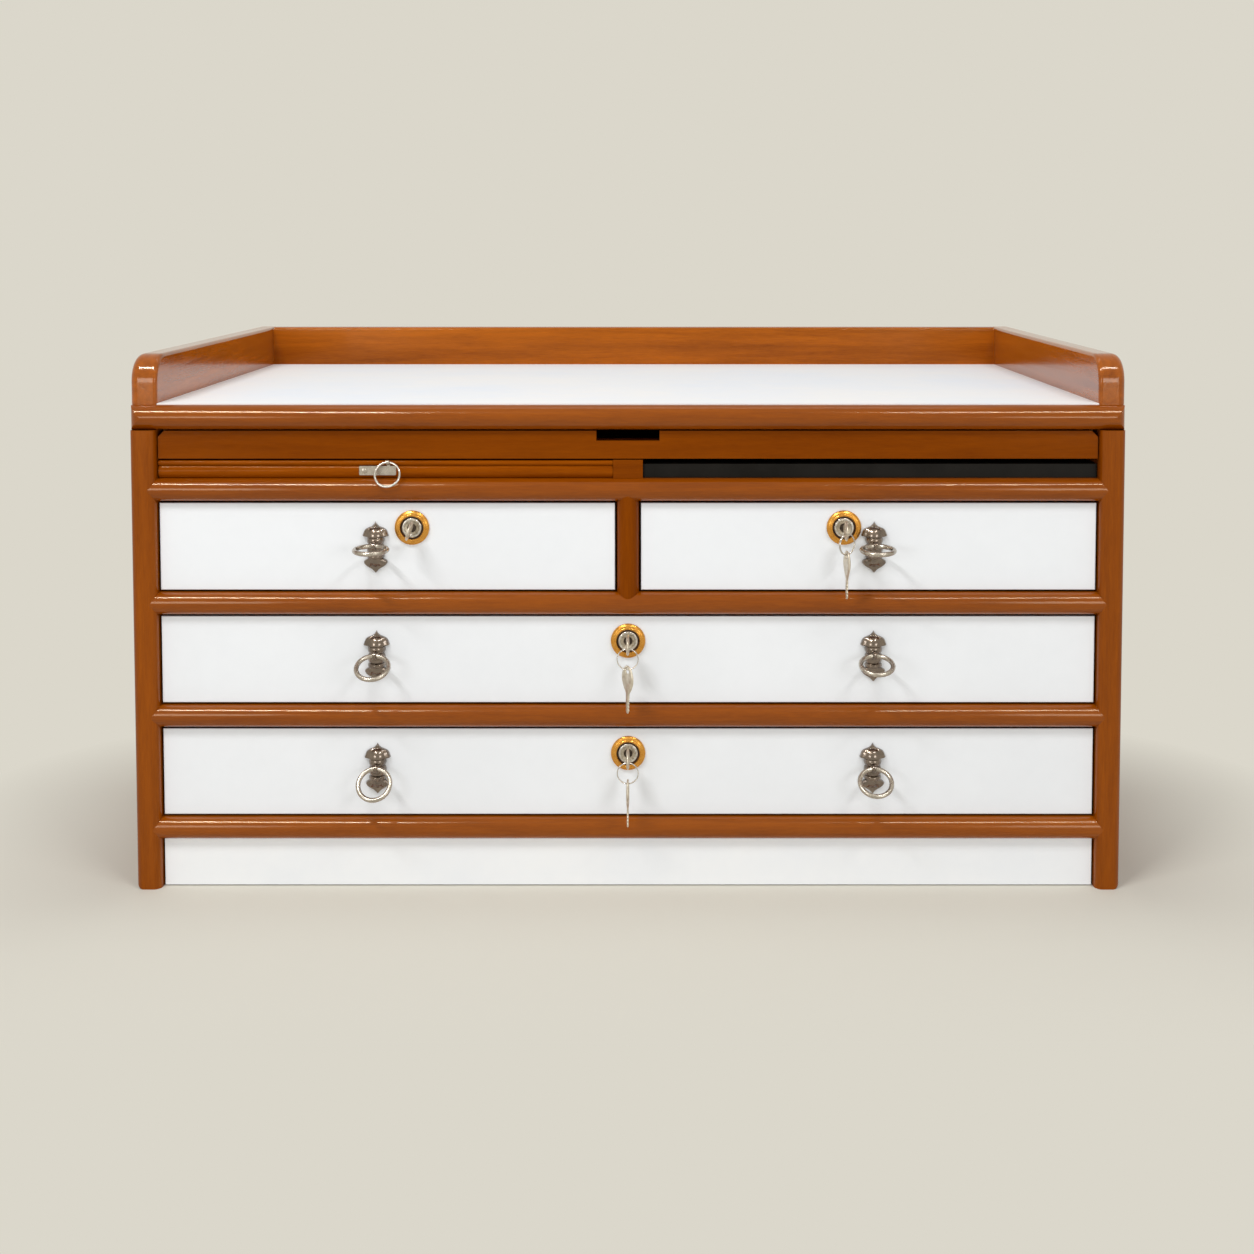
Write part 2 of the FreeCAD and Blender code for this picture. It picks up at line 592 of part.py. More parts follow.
def pull_solid():
    """Pull casting: flat, half-turned barrel and the eye that carries the ring."""
    plate = pull_outline().extrude(Vector(0, -size("plate_thick"), 0))
    wide, out, bore = size("eye_width"), size("eye_out"), size("eye_bore")
    rim = bore + size("eye_wall")
    centre = Vector(-wide / 2, -out, 0)
    eye = Part.makeCylinder(rim, wide, centre, Vector(1, 0, 0))
    web = Part.makeBox(wide, out, rim, Vector(-wide / 2, -out, -rim / 2))
    hole = Part.makeCylinder(bore, wide, centre, Vector(1, 0, 0))
    return plate.multiFuse([pull_core(), eye, web]).cut(hole).removeSplitter()


PULL = pull_solid()


def pull_plate(label, x, z):
    """Pull casting on the front, and the bolt that holds it from inside."""
    casting = doc.addObject("Part::Feature", label)
    casting.Shape = PULL
    place(casting, x, "face", z)
    shank = rod(label + "_shank", "bolt_radius", ("face", "front_rear"), x=x, z=z)
    head = rod(label + "_head", "bolt_head", ("front_rear", "front_rear + bolt_head_thick"), x=x, z=z)
    return [casting, joined(label + "_bolt", [shank, head])]


def hung_ring(label, radius, wire, tilt, x, out, z):
    """Ring that hangs from an eye in front of the fronts, raised by its tilt."""
    ring = doc.addObject("Part::Torus", label)
    ring.setExpression("Radius1", rule(radius))
    ring.setExpression("Radius2", rule(wire))
    raised = f"{tilt} * 1 deg"
    return place(ring, x, f"face - {out} - {radius} * sin({raised})", f"{z} - {radius} * cos({raised})",
                 Vector(1, 0, 0), f"90 - {tilt}")


def key_solid(label):
    """Key in its own frame: blade along +Y, bow along -Y, flat in the YZ plane, with a hole."""
    broad = "-(bow_length - bow_width / 2)"
    outline = [("blade_length", "-blade_height / 2"), ("blade_length", "blade_height / 2"),
               ("0", "blade_height / 2"), (broad, "bow_width / 2", broad, "0"),
               (broad, "-bow_width / 2"), ("0", "-blade_height / 2")]
    blank = padded(label + "_blank", "YZ_Plane", outline, "key_thick", symmetric=True)
    hole = rod(label + "_hole", "key_hole", ("-key_thick", "key_thick"), y="-hole_out", along="x")
    return cut(label, blank, [hole])


def lock(name, x, z, turn):
    """Lock body with its nut, plug with its cam, and the key, turned by an angle about the lock's axis."""
    bore = "plug_radius + plug_clear"
    shell = turned(name + "_lock_shell", [
        (bore, "-flange_thick + bezel_drop"), ("bezel_radius", "-flange_thick + bezel_drop"),
        ("bezel_radius", "-flange_thick"), ("flange_radius - flange_bevel", "-flange_thick"),
        ("flange_radius", "-flange_thick + flange_bevel"), ("flange_radius", "0"), ("lock_barrel", "0"),
        ("lock_barrel", "lock_tail - face"), (bore, "lock_tail - face")])
    nut = turned(name + "_lock_nut", [
        ("lock_barrel", "front_thick"), ("nut_radius", "front_thick"),
        ("nut_radius", "front_thick + nut_thick"), ("lock_barrel", "front_thick + nut_thick")])
    keep(place(group(name + "_lock_body", [shell, nut]), x, "face", z))
    start = "plug_face - face"
    stock = rod(name + "_plug_stock", "plug_radius", (start, "cam_front - face"))
    slot_half = "(key_thick / 2 + keyway_clear)"
    slot_high = "(blade_height / 2 + keyway_clear)"
    keyway = block(name + "_keyway", ("-" + slot_half, slot_half),
                   (start, f"{start} + blade_length + keyway_clear"), ("-" + slot_high, slot_high))
    plug = cut(name + "_plug", stock, [keyway])
    cam = block(name + "_cam", ("-cam_reach", "cam_width / 2"),
                ("cam_front - face", "cam_front - face + cam_thick"), ("-cam_width / 2", "cam_width / 2"))
    about = Vector(0, 1, 0)
    keep(place(group(name + "_lock_plug", [plug, cam]), x, "face", z, about, turn))
    keep(place(key_solid(name + "_key"), x, "plug_face", z, about, turn))


def spare_bunch(name, x, z, ring_turn, key_turn):
    """Split ring through the key in the lock, with the spare key hanging on it."""
    ring = doc.addObject("Part::Torus", name + "_split_ring")
    ring.setExpression("Radius1", rule("split_radius"))
    ring.setExpression("Radius2", rule("split_wire"))
    hole_y = "plug_face - hole_out"
    turn_about = Vector(0, 0, 1)
    upright = group(name + "_split_ring_upright", [place(ring, axis=Vector(1, 0, 0), turn="90")])
    place(upright, x, hole_y, f"{z} - hang - split_radius", turn_about, ring_turn)
    hanging = place(key_solid(name + "_spare_key_cut"), z="-hole_out", axis=Vector(1, 0, 0), turn="-90")
    spare = group(name + "_spare_key_upright", [hanging])
    place(spare, x, hole_y, f"{z} - 2 * hang - 2 * split_radius", turn_about, key_turn)
    keep(group(name + "_spare_key", [upright, spare]))


# Drawers: name, left and right formulas, floor level, lock place and turn, spare key turns, pulls.
small_left = ("-inner + front_gap", "-post_width / 2 - front_gap")
small_right = ("post_width / 2 + front_gap", "inner - front_gap")
wide = ("-inner + front_gap", "inner - front_gap")
DRAWERS = [
    ("small_left_drawer", small_left, "upper_level", "-lock_small_x", "key_turn_small_left", None,
     [("small_left_pull", "-pull_left", "pull_rise_small", "tilt_small_left")]),
    ("small_right_drawer", small_right, "upper_level", "lock_small_x", "0",
     ("ring_turn_small_right", "spare_turn_small_right"),
     [("small_right_pull", "pull_right", "pull_rise_small", "tilt_small_right")]),
    ("middle_drawer", wide, "middle_level", "0", "0", ("0", "spare_turn_middle"),
     [("middle_left_pull", "-pull_left", "pull_rise_wide", "tilt_middle_left"),
      ("middle_right_pull", "pull_right", "pull_rise_wide", "tilt_middle_right")]),
    ("bottom_drawer", wide, "bottom_level", "0", "0", ("0", "0"),
     [("bottom_left_pull", "-pull_left", "pull_rise_wide", "tilt_bottom_left"),
      ("bottom_right_pull", "pull_right", "pull_rise_wide", "tilt_bottom_right")]),
]
for name, x, level, lock_x, lock_turn, bunch, pulls in DRAWERS:
    low = f"{level} + front_gap"
    high = f"{low} + front_height"
    lock_z = f"{high} - lock_drop"
    blank = panel(name + "_blank", x, ("face", "front_rear"), (low, high))
    soften(blank, "front_edge", lambda box: flat_at(box, "Y", 0))
    holes = [front_bore(name + "_lock_hole", "lock_barrel", lock_x, lock_z)]
    plates = []
    for pull, pull_x, rise, tilt in pulls:
        pull_z = f"{low} + front_height / 2 + {rise}"
        holes.append(front_bore(pull + "_hole", "bolt_radius", pull_x, pull_z))
        plates += pull_plate(pull + "_casting", pull_x, pull_z)
        keep(hung_ring(pull + "_ring", "ring_radius", "ring_wire", tilt, pull_x, "eye_out", pull_z))
    keep(group(name + "_pull_plates", plates))
    keep(cut(name + "_front", blank, holes))
    box_low = f"{level} + run_gap"
    floor = (f"{box_low} + bottom_raise", f"{box_low} + bottom_raise + box_bottom")
    keep(drawer_box(name + "_box", x, box_low, f"{box_low} + box_height", floor, "front_rear"))
    lock(name, lock_x, lock_z, lock_turn)
    if bunch:
        spare_bunch(name, lock_x, lock_z, *bunch)

# Pencil drawer: a front with cut corners and a finger notch, on grooved sides that run on strips.
fascia_half = "(inner - fascia_gap)"
fascia_top = "(pencil_high - pencil_low)"
fascia = padded("pencil_drawer_front", "XZ_Plane", [
    (f"-{fascia_half}", "0"),
    (fascia_half, "0"),
    (fascia_half, f"{fascia_top} - corner_cut"),
    (f"{fascia_half} - corner_cut", fascia_top),
    ("notch_width / 2", fascia_top),
    ("notch_width / 2", f"{fascia_top} - notch_drop"),
    ("-notch_width / 2", f"{fascia_top} - notch_drop"),
    ("-notch_width / 2", fascia_top),
    (f"-{fascia_half} + corner_cut", fascia_top),
    (f"-{fascia_half}", f"{fascia_top} - corner_cut")], "fascia_thick")
keep(place(fascia, "0", "face + fascia_thick", "pencil_low"))
guide_low = "pencil_low + guide_raise"
fascia_rear = "face + fascia_thick"
keep(group("slide_guides", [
    block("guide_strip_left", ("-inner", "-inner + guide_size"), (fascia_rear + " + run_gap", "cavity_rear"),
          (guide_low, f"{guide_low} + guide_size")),
    block("guide_strip_right", ("inner - guide_size", "inner"), (fascia_rear + " + run_gap", "cavity_rear"),
          (guide_low, f"{guide_low} + guide_size"))]))
pencil_boards = drawer_box("pencil_boards", ("-inner + fascia_gap", "inner - fascia_gap"), "pencil_low",
                           "pencil_high", ("pencil_low", "pencil_low + pencil_bottom"), fascia_rear)
groove = (f"{guide_low} - run_gap", f"{guide_low} + guide_size + run_gap")
keep(cut("pencil_drawer_box", pencil_boards, [
    block("groove_left", ("-inner", "-inner + guide_size + run_gap"), (fascia_rear, "box_end"), groove),
    block("groove_right", ("inner - guide_size - run_gap", "inner"), (fascia_rear, "box_end"), groove)]))

# Writing board, whose edge is a bead above a flatter nose, with its strip plate and ring.
bead_half = "board_bead / 2"
nose_high = "board_thick - board_bead"
nose_bow = f"(({bead_half}) ^ 2 + (({nose_high}) / 2) ^ 2) / board_bead"
board_run = "box_end - face"
board_outline = [(bead_half, "board_thick", bead_half, f"board_thick - {bead_half}"),
                 (bead_half, nose_high, nose_bow, f"({nose_high}) / 2"),
                 (bead_half, "0"), (board_run, "0"), (board_run, "board_thick")]
board_left, board_right = "-inner + fascia_gap", "-slide_post_width / 2 - run_gap"
board_blank = padded("board_blank", "YZ_Plane", board_outline, f"{board_right} - ({board_left})")
place(board_blank, board_left, "face", "board_low")
strip_right = "-board_pull_x + strip_lead"
strip_rear = "face + strip_seat"
strip_front = f"{strip_rear} - strip_thick"
strip = block("strip", (f"{strip_right} - strip_length", strip_right), (strip_front, strip_rear),
              ("strip_low", "strip_low + strip_height"))
keep(cut("writing_board", board_blank, [strip]))
eye_span = ("-board_pull_x - board_eye_width / 2", "-board_pull_x + board_eye_width / 2")
eye_y = "face - board_eye_out"
eye_rim = "(board_eye_bore + board_eye_wall)"
strip_eye = rod("strip_eye", eye_rim, eye_span, y=eye_y, z="board_eye_z", along="x")
strip_web = block("strip_web", eye_span, (eye_y, "face"), (f"board_eye_z - {eye_rim}", "board_eye_z"))
strip_tongue = block("strip_tongue", eye_span, (strip_front, "face"), ("strip_low", "board_eye_z"))
strip_bore = rod("strip_bore", "board_eye_bore", eye_span, y=eye_y, z="board_eye_z", along="x")
strip_blank = joined("strip_blank", [strip, strip_tongue, strip_eye, strip_web])
strip_plate = cut("strip_plate", strip_blank, [strip_bore])
strip_screw = rod("strip_screw_head", "strip_screw", (f"{strip_front} - strip_thick / 2", strip_front),
                  x=f"{strip_right} - strip_length + 2 * strip_screw", z="strip_low + strip_height / 2")
keep(group("board_pull_plate", [strip_plate, strip_screw]))
keep(hung_ring("board_pull_ring", "board_ring_radius", "board_ring_wire", "tilt_board", "-board_pull_x",
               "board_eye_out", "board_eye_z"))

# Black tray: a thin front and a shallow tray behind it.
tray_x = ("slide_post_width / 2 + run_gap", "inner - fascia_gap")
tray_front = "face + tray_recess"
tray_start = f"{tray_front} + tray_front_thick"
tray_z = ("board_low", "board_low + tray_height")
keep(block("black_tray_front", tray_x, (tray_front, tray_start), tray_z))
tray_blank = block("tray_blank", tray_x, (tray_start, "box_end"), tray_z)
tray_hollow = block("tray_hollow", (f"{tray_x[0]} + tray_wall", f"{tray_x[1]} - tray_wall"),
                    (f"{tray_start} + tray_wall", "box_end - tray_wall"),
                    ("board_low + tray_wall", "board_low + tray_height"))
keep(cut("black_tray_box", tray_blank, [tray_hollow]))

doc.recompute()
for piece in doc.Objects:
    if "Invalid" in piece.State or "Error" in piece.State:
        raise RuntimeError(f"{piece.Label} failed: {piece.State}")
for piece in PIECES:
    if piece.Shape.isNull() or not piece.Shape.isValid():
        raise RuntimeError(f"{piece.Label} has no valid shape")
os.makedirs("parts", exist_ok=True)
for piece in PIECES:
    piece.Shape.exportStep(f"parts/{piece.Label}.step")
    print(piece.Label, len(piece.Shape.Solids), round(piece.Shape.Volume))
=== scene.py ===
"""
Looks of a lacquered drawer unit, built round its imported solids.

The wooden and white pieces keep their solids and get procedural finishes. The pulls, rings, locks and
keys are surfaces worked out on grids, each in the place of its solid. Lengths are in metres.
"""

import json
import math

import bmesh
import bpy
import numpy as np
from bpy.props import FloatProperty, FloatVectorProperty, PointerProperty
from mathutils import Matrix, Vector


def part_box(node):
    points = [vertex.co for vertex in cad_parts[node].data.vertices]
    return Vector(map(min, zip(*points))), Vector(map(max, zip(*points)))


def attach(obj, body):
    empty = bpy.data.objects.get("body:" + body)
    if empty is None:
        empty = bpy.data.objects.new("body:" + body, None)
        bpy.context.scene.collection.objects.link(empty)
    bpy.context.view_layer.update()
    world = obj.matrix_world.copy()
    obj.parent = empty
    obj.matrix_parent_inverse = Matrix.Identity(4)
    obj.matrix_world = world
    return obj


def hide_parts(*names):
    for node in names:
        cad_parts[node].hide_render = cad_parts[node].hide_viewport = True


bl_info = {
    "name": "Lacquered drawer unit",
    "version": (1, 0, 0),
    "blender": (4, 5, 0),
    "location": "View3D > Sidebar > Drawer unit",
    "description": "Finishes and hardware of a desk-top drawer unit with ring pulls and locks",
    "category": "Object",
}

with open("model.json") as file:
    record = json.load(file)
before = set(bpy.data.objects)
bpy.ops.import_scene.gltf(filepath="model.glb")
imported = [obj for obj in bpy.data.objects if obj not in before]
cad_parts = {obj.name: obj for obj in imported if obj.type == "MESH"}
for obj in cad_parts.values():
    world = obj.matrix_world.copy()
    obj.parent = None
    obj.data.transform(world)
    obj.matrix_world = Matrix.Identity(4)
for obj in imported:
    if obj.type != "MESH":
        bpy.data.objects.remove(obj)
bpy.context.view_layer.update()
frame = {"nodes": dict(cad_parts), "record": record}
NODES = frame["nodes"]
BEHAVIOUR = frame["record"]["behaviour"]
JOINTS = {joint["name"]: joint for joint in BEHAVIOUR["joints"]}
BODY_OF = {node: body for body, nodes in BEHAVIOUR["bodies"].items() for node in nodes}
DRAWERS = ["small_left_drawer", "small_right_drawer", "middle_drawer", "bottom_drawer"]
PULLS = {
    "small_left_drawer": ["small_left_pull"],
    "small_right_drawer": ["small_right_pull"],
    "middle_drawer": ["middle_left_pull", "middle_right_pull"],
    "bottom_drawer": ["bottom_left_pull", "bottom_right_pull"],
}
MM = 0.001
SMOOTH_ANGLE = math.radians(40)
MERGE_DISTANCE = 1e-6
# How far past a round the point that holds a flat lies, in rounds.
HOLD = 1.35
# Places on the outlines of a pull's cap and spade and of a key's bow, as shares of half width and height.
CAP_SHAPE = [(0, 0), (0.095, 0.16), (0.283, 0.33), (0.46, 0.4), (0.726, 0.518), (0.865, 0.66), (0.94, 0.85),
             (1, 1)]
SPADE_SHAPE = [(0.61, 0), (0.78, 0.066), (0.93, 0.15), (0.99, 0.256), (0.92, 0.388), (0.71, 0.545),
               (0.48, 0.653), (0.306, 0.744), (0.153, 0.868), (0, 1)]
LEAF_SHAPE = [(0, 0), (0.02, 0.26), (0.06, 0.47), (0.13, 0.68), (0.26, 0.88), (0.42, 1), (0.6, 0.94),
              (0.78, 0.68), (0.92, 0.36), (1, 0.25), (1.02, 0)]
# Teeth of a key: share of the blade before them, depth and number. Length of the blade inside the bow.
TEETH_START = 0.3
TEETH_DEEP = 0.9 * MM
TEETH_COUNT = 6.5
BLADE_ROOT = 3 * MM
# Flange of a lock, in millimetres: bead as (out from the recess, below the face), bevel as (in from the rim,
# below the face). Face of a plug as shares of its radius and of the depth of its dish.
FLANGE_BEAD = [(0, 0.25), (0.3, 0), (1.3, 0), (1.7, 0.4)]
FLANGE_BEVEL = [(2.0, 0.4), (0.4, 1.4), (0, 2.0)]
PLUG_FACE = [(0.68, 0.6), (0.76, 0), (0.93, 0)]
# Rounds and bevels on the edges of the hardware.
EYE_ROUND = 0.4 * MM
HEAD_ROUND = 0.6 * MM
LOCK_ROUND = 0.5 * MM
PLUG_ROUND = 0.3 * MM
CAM_BEVEL = 0.4 * MM
CAM_CORNER = 2.5 * MM
STRIP_BEVEL = 0.25 * MM
STRIP_CORNER = 0.8 * MM
STRIP_ROUND = 0.3 * MM
TONGUE_CORNER = 0.2 * MM
PLATE_ROUND = 1.1 * MM
# Sharpness of the join between a casting's plate and its core, and crown of the plate as a share of the core.
BLEND = 6
CROWN = 0.85
# Grain features per metre along and across the wood.
GRAIN_ALONG = 16
GRAIN_ACROSS = 240
# Depth of the relief of the grain and of handling marks.
GRAIN_DEEP = 0.4 * MM
MARK_DEEP = 0.2 * MM
# Warm tint of the lacquer's reflections.
SHEEN = (1, 0.78, 0.48, 1)
FLOOR_HALF = 8
# Middle and half size of the patch of floor that keeps its shadows, and the distance over which it runs out.
FLOOR_PATCH = {"X": (0, 0.4), "Y": (-0.1, 0.1)}
FLOOR_FADE = (0.02, 0.24)
# Place, aim, width and height of each lamp. The lamps in front aim at the middle of the fronts.
FRONTS = (0, -0.15, 0.22)
LAMPS = {
    "high_left": ((-0.75, -1.1, 1.75), FRONTS, 0.7, 0.06),
    "high_right": ((0.75, -1.1, 1.75), FRONTS, 0.7, 0.06),
    "low_left": ((-0.85, -1.5, 0.5), FRONTS, 0.5, 0.4),
    "low_right": ((0.85, -1.5, 0.5), FRONTS, 0.5, 0.4),
    "overhead": ((0, 0.1, 1.9), (0, 0.1, 0), 1.2, 0.3),
}
# Thickness of the white sheet on the drawer fronts.
SHEET = 0.8 * MM
# Woods: light and dark colour, way of the grain, least and most roughness, shine and clear coat.
WOODS = {
    "nose_x": ("lacquer", "lacquer_dark", "x", (0.1, 0.18), 0.4, 0.2),
    "lacquer_x": ("lacquer", "lacquer_dark", "x", (0.1, 0.18), 0.08),
    "lacquer_z": ("lacquer", "lacquer_dark", "z", (0.1, 0.18), 0.35),
    # The next two are the lacquer darkened: painted shade on the pencil drawer's front under the top's nose
    # and on the posts.
    "deep_x": ("deep", "deep_dark", "x", (0.12, 0.2), 0.1),
    "deep_z": ("deep", "deep_dark", "z", (0.12, 0.2), 0.1),
    # The gallery's lacquer is the lacquer lightened: painted light, as the gallery stands further from the
    # lamps.
    "gallery_x": ("bright", "bright_dark", "x", (0.1, 0.2), 0.3, 0.1),
    "gallery_y": ("bright", "bright_dark", "y", (0.1, 0.2), 0.3, 0.5),
    "plain_board": ("inner", "inner_dark", "y", (0.6, 0.75), 0.3),
    "plain_board_x": ("inner", "inner_dark", "x", (0.6, 0.75), 0.3),
}
# Other finishes: clean and rubbed colour, marks per metre, least and most roughness, metal, relief, shine
# and clear coat.
PLAIN = {
    "white_front": ("laminate", "laminate_dim", 9, (0.34, 0.46), 0, 0.03, 0.3),
    # The plinth's white is the laminate lightened: painted light low down under the bottom rail.
    "white_laminate": ("plinth_white", "laminate", 9, (0.34, 0.46), 0, 0.03, 0.3),
    # The top's white is the laminate lightened: painted light where the gallery shades the top.
    "white_top": ("top_white", "laminate", 7, (0.4, 0.5), 0, 0.03, 0.0),
    "aged_nickel": ("nickel", "nickel_dark", 160, (0.2, 0.3), 1.0, 0.06, 0.5, 1.0),
    "ring_nickel": ("ring", "ring_dark", 300, (0.24, 0.32), 1.0, 0.03),
    "plug_nickel": ("plug", "ring_dark", 500, (0.18, 0.34), 1.0),
    "satin_key": ("key", "key_dark", 260, (0.3, 0.45), 0.85, 0.08),
    "brass": ("brass", "brass_dark", 320, (0.18, 0.34), 1.0),
    # The next finish is painted shade: dark on the floor of each lock's recess and in the middle of each
    # plug's face.
    "hollow": ("hollow", "nickel_dark", 400, (0.5, 0.7), 0.3, 0.1),
    "satin_black": ("black", "black_light", 40, (0.38, 0.55), 0, 0.08, 0.1),
    "screw_steel": ("steel", "ring_dark", 400, (0.3, 0.45), 1.0),
}


def length(name, words, millimetres):
    """Length property with its default in millimetres."""
    return FloatProperty(name=name, description=words, default=millimetres * MM, unit="LENGTH", precision=4)


def turn(name, words, degrees):
    """Angle property with its default in degrees."""
    return FloatProperty(name=name, description=words, default=math.radians(degrees), subtype="ANGLE")


def share(name, words, value):
    """Plain factor."""
    return FloatProperty(name=name, description=words, default=value)


def tint(name, words, red, green, blue):
    """Colour property with its default as written on a screen, from 0 to 255."""
    screen = np.array([red, green, blue]) / 255
    linear = np.where(screen <= 0.04045, screen / 12.92, ((screen + 0.055) / 1.055) ** 2.4)
    return FloatVectorProperty(name=name, description=words, default=linear.tolist(), subtype="COLOR",
                               min=0, max=1)


class PullSizes(bpy.types.PropertyGroup):
    """Sizes of the pull castings, measured from the eye that carries the ring."""

    eye_out: length("Eye", "Eye in front of the drawer front", 10.2)
    top: length("Spike", "Eye to the top of the spike", 18.4)
    tip: length("Tip", "Eye down to the lower tip", 23.6)
    cap_half: length("Cap half width", "Half width of the cap at its lip", 10.6)
    cap_lip: length("Cap lip", "Eye to the lip of the cap", 7.2)
    cap_base: length("Cap underside", "Eye to the underside of the cap", 6.2)
    dome_top: length("Cap dome", "Eye to the top of the dome in the cap", 14.7)
    barrel: length("Barrel", "Radius of the beads on the barrel", 7.2)
    bead: length("Bead", "Height of the beads", 1.4)
    knuckle: length("Knuckle", "Eye down to the foot of the middle bead", 7.8)
    spade_top: length("Spade top", "Eye down to the top of the spade", 11.5)
    spade_half: length("Spade half width", "Half width of the spade", 9.8)
    dome_low: length("Spade dome", "Eye down to the end of the dome in the spade", 18.6)
    plate: length("Plate", "Thickness of the flat of the casting", 2.4)
    eye_half: length("Eye half width", "Half the width of the eye", 1.5)
    eye_bore: length("Eye bore", "Radius of the bore of the eye", 2.29)
    eye_rim: length("Eye rim", "Outer radius of the eye", 3.18)
    bolt_head: length("Bolt head", "Radius of the bolt's head inside the drawer", 4.0)
    bolt_head_thick: length("Bolt head thickness", "Thickness of the bolt's head", 2.5)
    front_thick: length("Front", "Thickness of the drawer front that the bolt goes through", 18)


class LockSizes(bpy.types.PropertyGroup):
    """Sizes of the locks and keys, measured from the drawer front on the lock's axis."""

    flange: length("Flange", "Radius of the brass flange", 14)
    flange_thick: length("Flange thickness", "Flange in front of the drawer front", 3.2)
    bezel: length("Recess", "Radius of the recess round the plug", 9.4)
    bezel_floor: length("Recess floor", "Floor of the recess in front of the drawer front", 0.8)
    barrel: length("Barrel", "Radius of the barrel", 10)
    barrel_end: length("Barrel end", "Rear of the barrel", 23)
    nut: length("Nut", "Radius of the nut", 14)
    nut_thick: length("Nut thickness", "Thickness of the nut", 3)
    front_thick: length("Front", "Thickness of the drawer front", 18)
    plug: length("Plug", "Radius of the plug", 8)
    plug_face: length("Plug face", "Face of the plug in front of the drawer front", 2.6)
    plug_dish: length("Plug dish", "Depth of the dish in the plug's face", 0.7)
    keyway: length("Keyway", "Radius of the dark hollow round the key", 3.6)
    cam_start: length("Cam", "Front of the cam behind the face of the drawer front", 23.3)
    # Within this radius the plug's face is painted dark as shade.
    cam_thick: length("Cam thickness", "Thickness of the cam", 3)
    cam_reach: length("Cam reach", "Lock's axis to the end of the cam", 28)
    cam_half: length("Cam half width", "Half the width of the cam", 6)
    bow: length("Key bow", "Length of the key's bow", 24)
    bow_half: length("Bow half width", "Half the width of the bow", 8)
    bow_thick: length("Bow thickness", "Thickness of the bow at its middle", 2.6)
    edge_thick: length("Bow edge", "Thickness of the bow at its edge", 1.2)
    blade: length("Key blade", "Length of the key's blade", 15)
    blade_half: length("Blade half height", "Half the height of the blade", 2.0)
    blade_thick: length("Blade thickness", "Thickness of the blade", 1.5)
    hole: length("Key hole", "Radius of the hole in the bow", 2.2)
    hole_out: length("Hole place", "Plug's face to the hole in the bow", 19.6)
    hang: length("Hang", "Ring wire below the middle of a hole", 1.05)
    split: length("Split ring", "Radius of the split ring", 8.4)
    split_wire: length("Split ring wire", "Radius of the wire of the split ring", 0.42)
    ring_turn: turn("Ring turn", "Turn of the split ring of the right small drawer", 40)
    spare_turn_right: turn("Right spare turn", "Turn of the spare key of the right small drawer", 10)
    spare_turn_middle: turn("Middle spare turn", "Turn of the spare key of the middle drawer", 35)


class StripSizes(bpy.types.PropertyGroup):
    """Sizes of the writing board's pull."""

    eye_out: length("Eye", "Eye in front of the writing board", 4)
    lead: length("Lead", "Strip past the eye on the right", 6)
    strip: length("Strip", "Length of the strip", 30)
    height: length("Strip height", "Height of the strip", 7.6)
    lift: length("Eye lift", "Eye above the strip", 3.4)
    seat: length("Seat", "Strip let into the edge of the writing board", 0.8)
    thick: length("Strip thickness", "Thickness of the strip", 1.2)
    eye_half: length("Eye half width", "Half the width of the eye", 1.2)
    eye_bore: length("Eye bore", "Radius of the bore of the eye", 1.33)
    eye_rim: length("Eye rim", "Outer radius of the eye", 2.1)
    screw: length("Screw head", "Radius of the screw's head", 2.2)


class FinishColours(bpy.types.PropertyGroup):
    """Colours of the finishes."""

    lacquer: tint("Lacquer", "Brown lacquer over the open grain", 154, 76, 1)
    lacquer_dark: tint("Lacquer dark", "Brown lacquer in the dark grain", 124, 56, 0)
    # Painted shade: a darkened copy of the lacquer for the pencil drawer's front under the top's nose and for
    # the posts.
    deep: tint("Deep lacquer", "Lacquer of the pencil drawer's front and the posts", 138, 66, 0)
    deep_dark: tint("Deep lacquer dark", "Dark grain of the deep lacquer", 114, 50, 0)
    # Painted light: a lightened copy of the lacquer for the gallery, which stands further from the lamps.
    bright: tint("Bright lacquer", "Lacquer of the gallery", 180, 93, 8)
    bright_dark: tint("Bright lacquer dark", "Dark grain of the gallery", 128, 59, 0)
    inner: tint("Plain board", "Unpainted boards inside", 205, 176, 133)
    inner_dark: tint("Plain board dark", "Dark grain of the unpainted boards", 172, 137, 92)
    laminate: tint("Laminate", "White drawer fronts", 242, 245, 249)
    # Painted light: the laminate lightened for the plinth, low down under the bottom rail.
    plinth_white: tint("Plinth laminate", "White plinth", 248, 250, 252)
    # Painted light: the laminate lightened for the top, which the gallery shades.
    top_white: tint("Top laminate", "White top inside the gallery", 250, 248, 245)
    laminate_dim: tint("Laminate dim", "Handled places of the white surfaces", 238, 241, 245)
    # Partly painted shade: the bare board's edge colour, darkened so that the gaps round the drawer fronts
    # look dark.
    edge: tint("Board edge", "Edges and backs of the drawer fronts behind the white sheet", 58, 36, 18)
    nickel: tint("Aged nickel", "Pull castings", 130, 113, 97)
    nickel_dark: tint("Aged nickel dark", "Tarnish in the hollows of the castings", 98, 83, 70)
    ring: tint("Ring nickel", "Pull rings", 198, 190, 178)
    ring_dark: tint("Ring nickel dark", "Worn places of the rings", 172, 163, 151)
    plug: tint("Plug nickel", "Lock plugs and split rings", 236, 233, 226)
    key: tint("Key", "Satin keys", 226, 217, 200)
    key_dark: tint("Key dark", "Rubbed places of the keys", 198, 187, 168)
    brass: tint("Brass", "Lock flanges", 232, 170, 82)
    brass_dark: tint("Brass dark", "Tarnish on the lock flanges", 212, 146, 60)
    # Painted shade: the floor of the recess round each plug and the middle of each plug's face get this dark
    # colour.
    hollow: tint("Hollow", "Dark recess round a plug", 40, 30, 20)
    black: tint("Black", "Tray and its front", 22, 20, 17)
    black_light: tint("Black light", "Rubbed places of the tray", 30, 28, 25)
    steel: tint("Screw steel", "Back panel screws", 150, 150, 148)


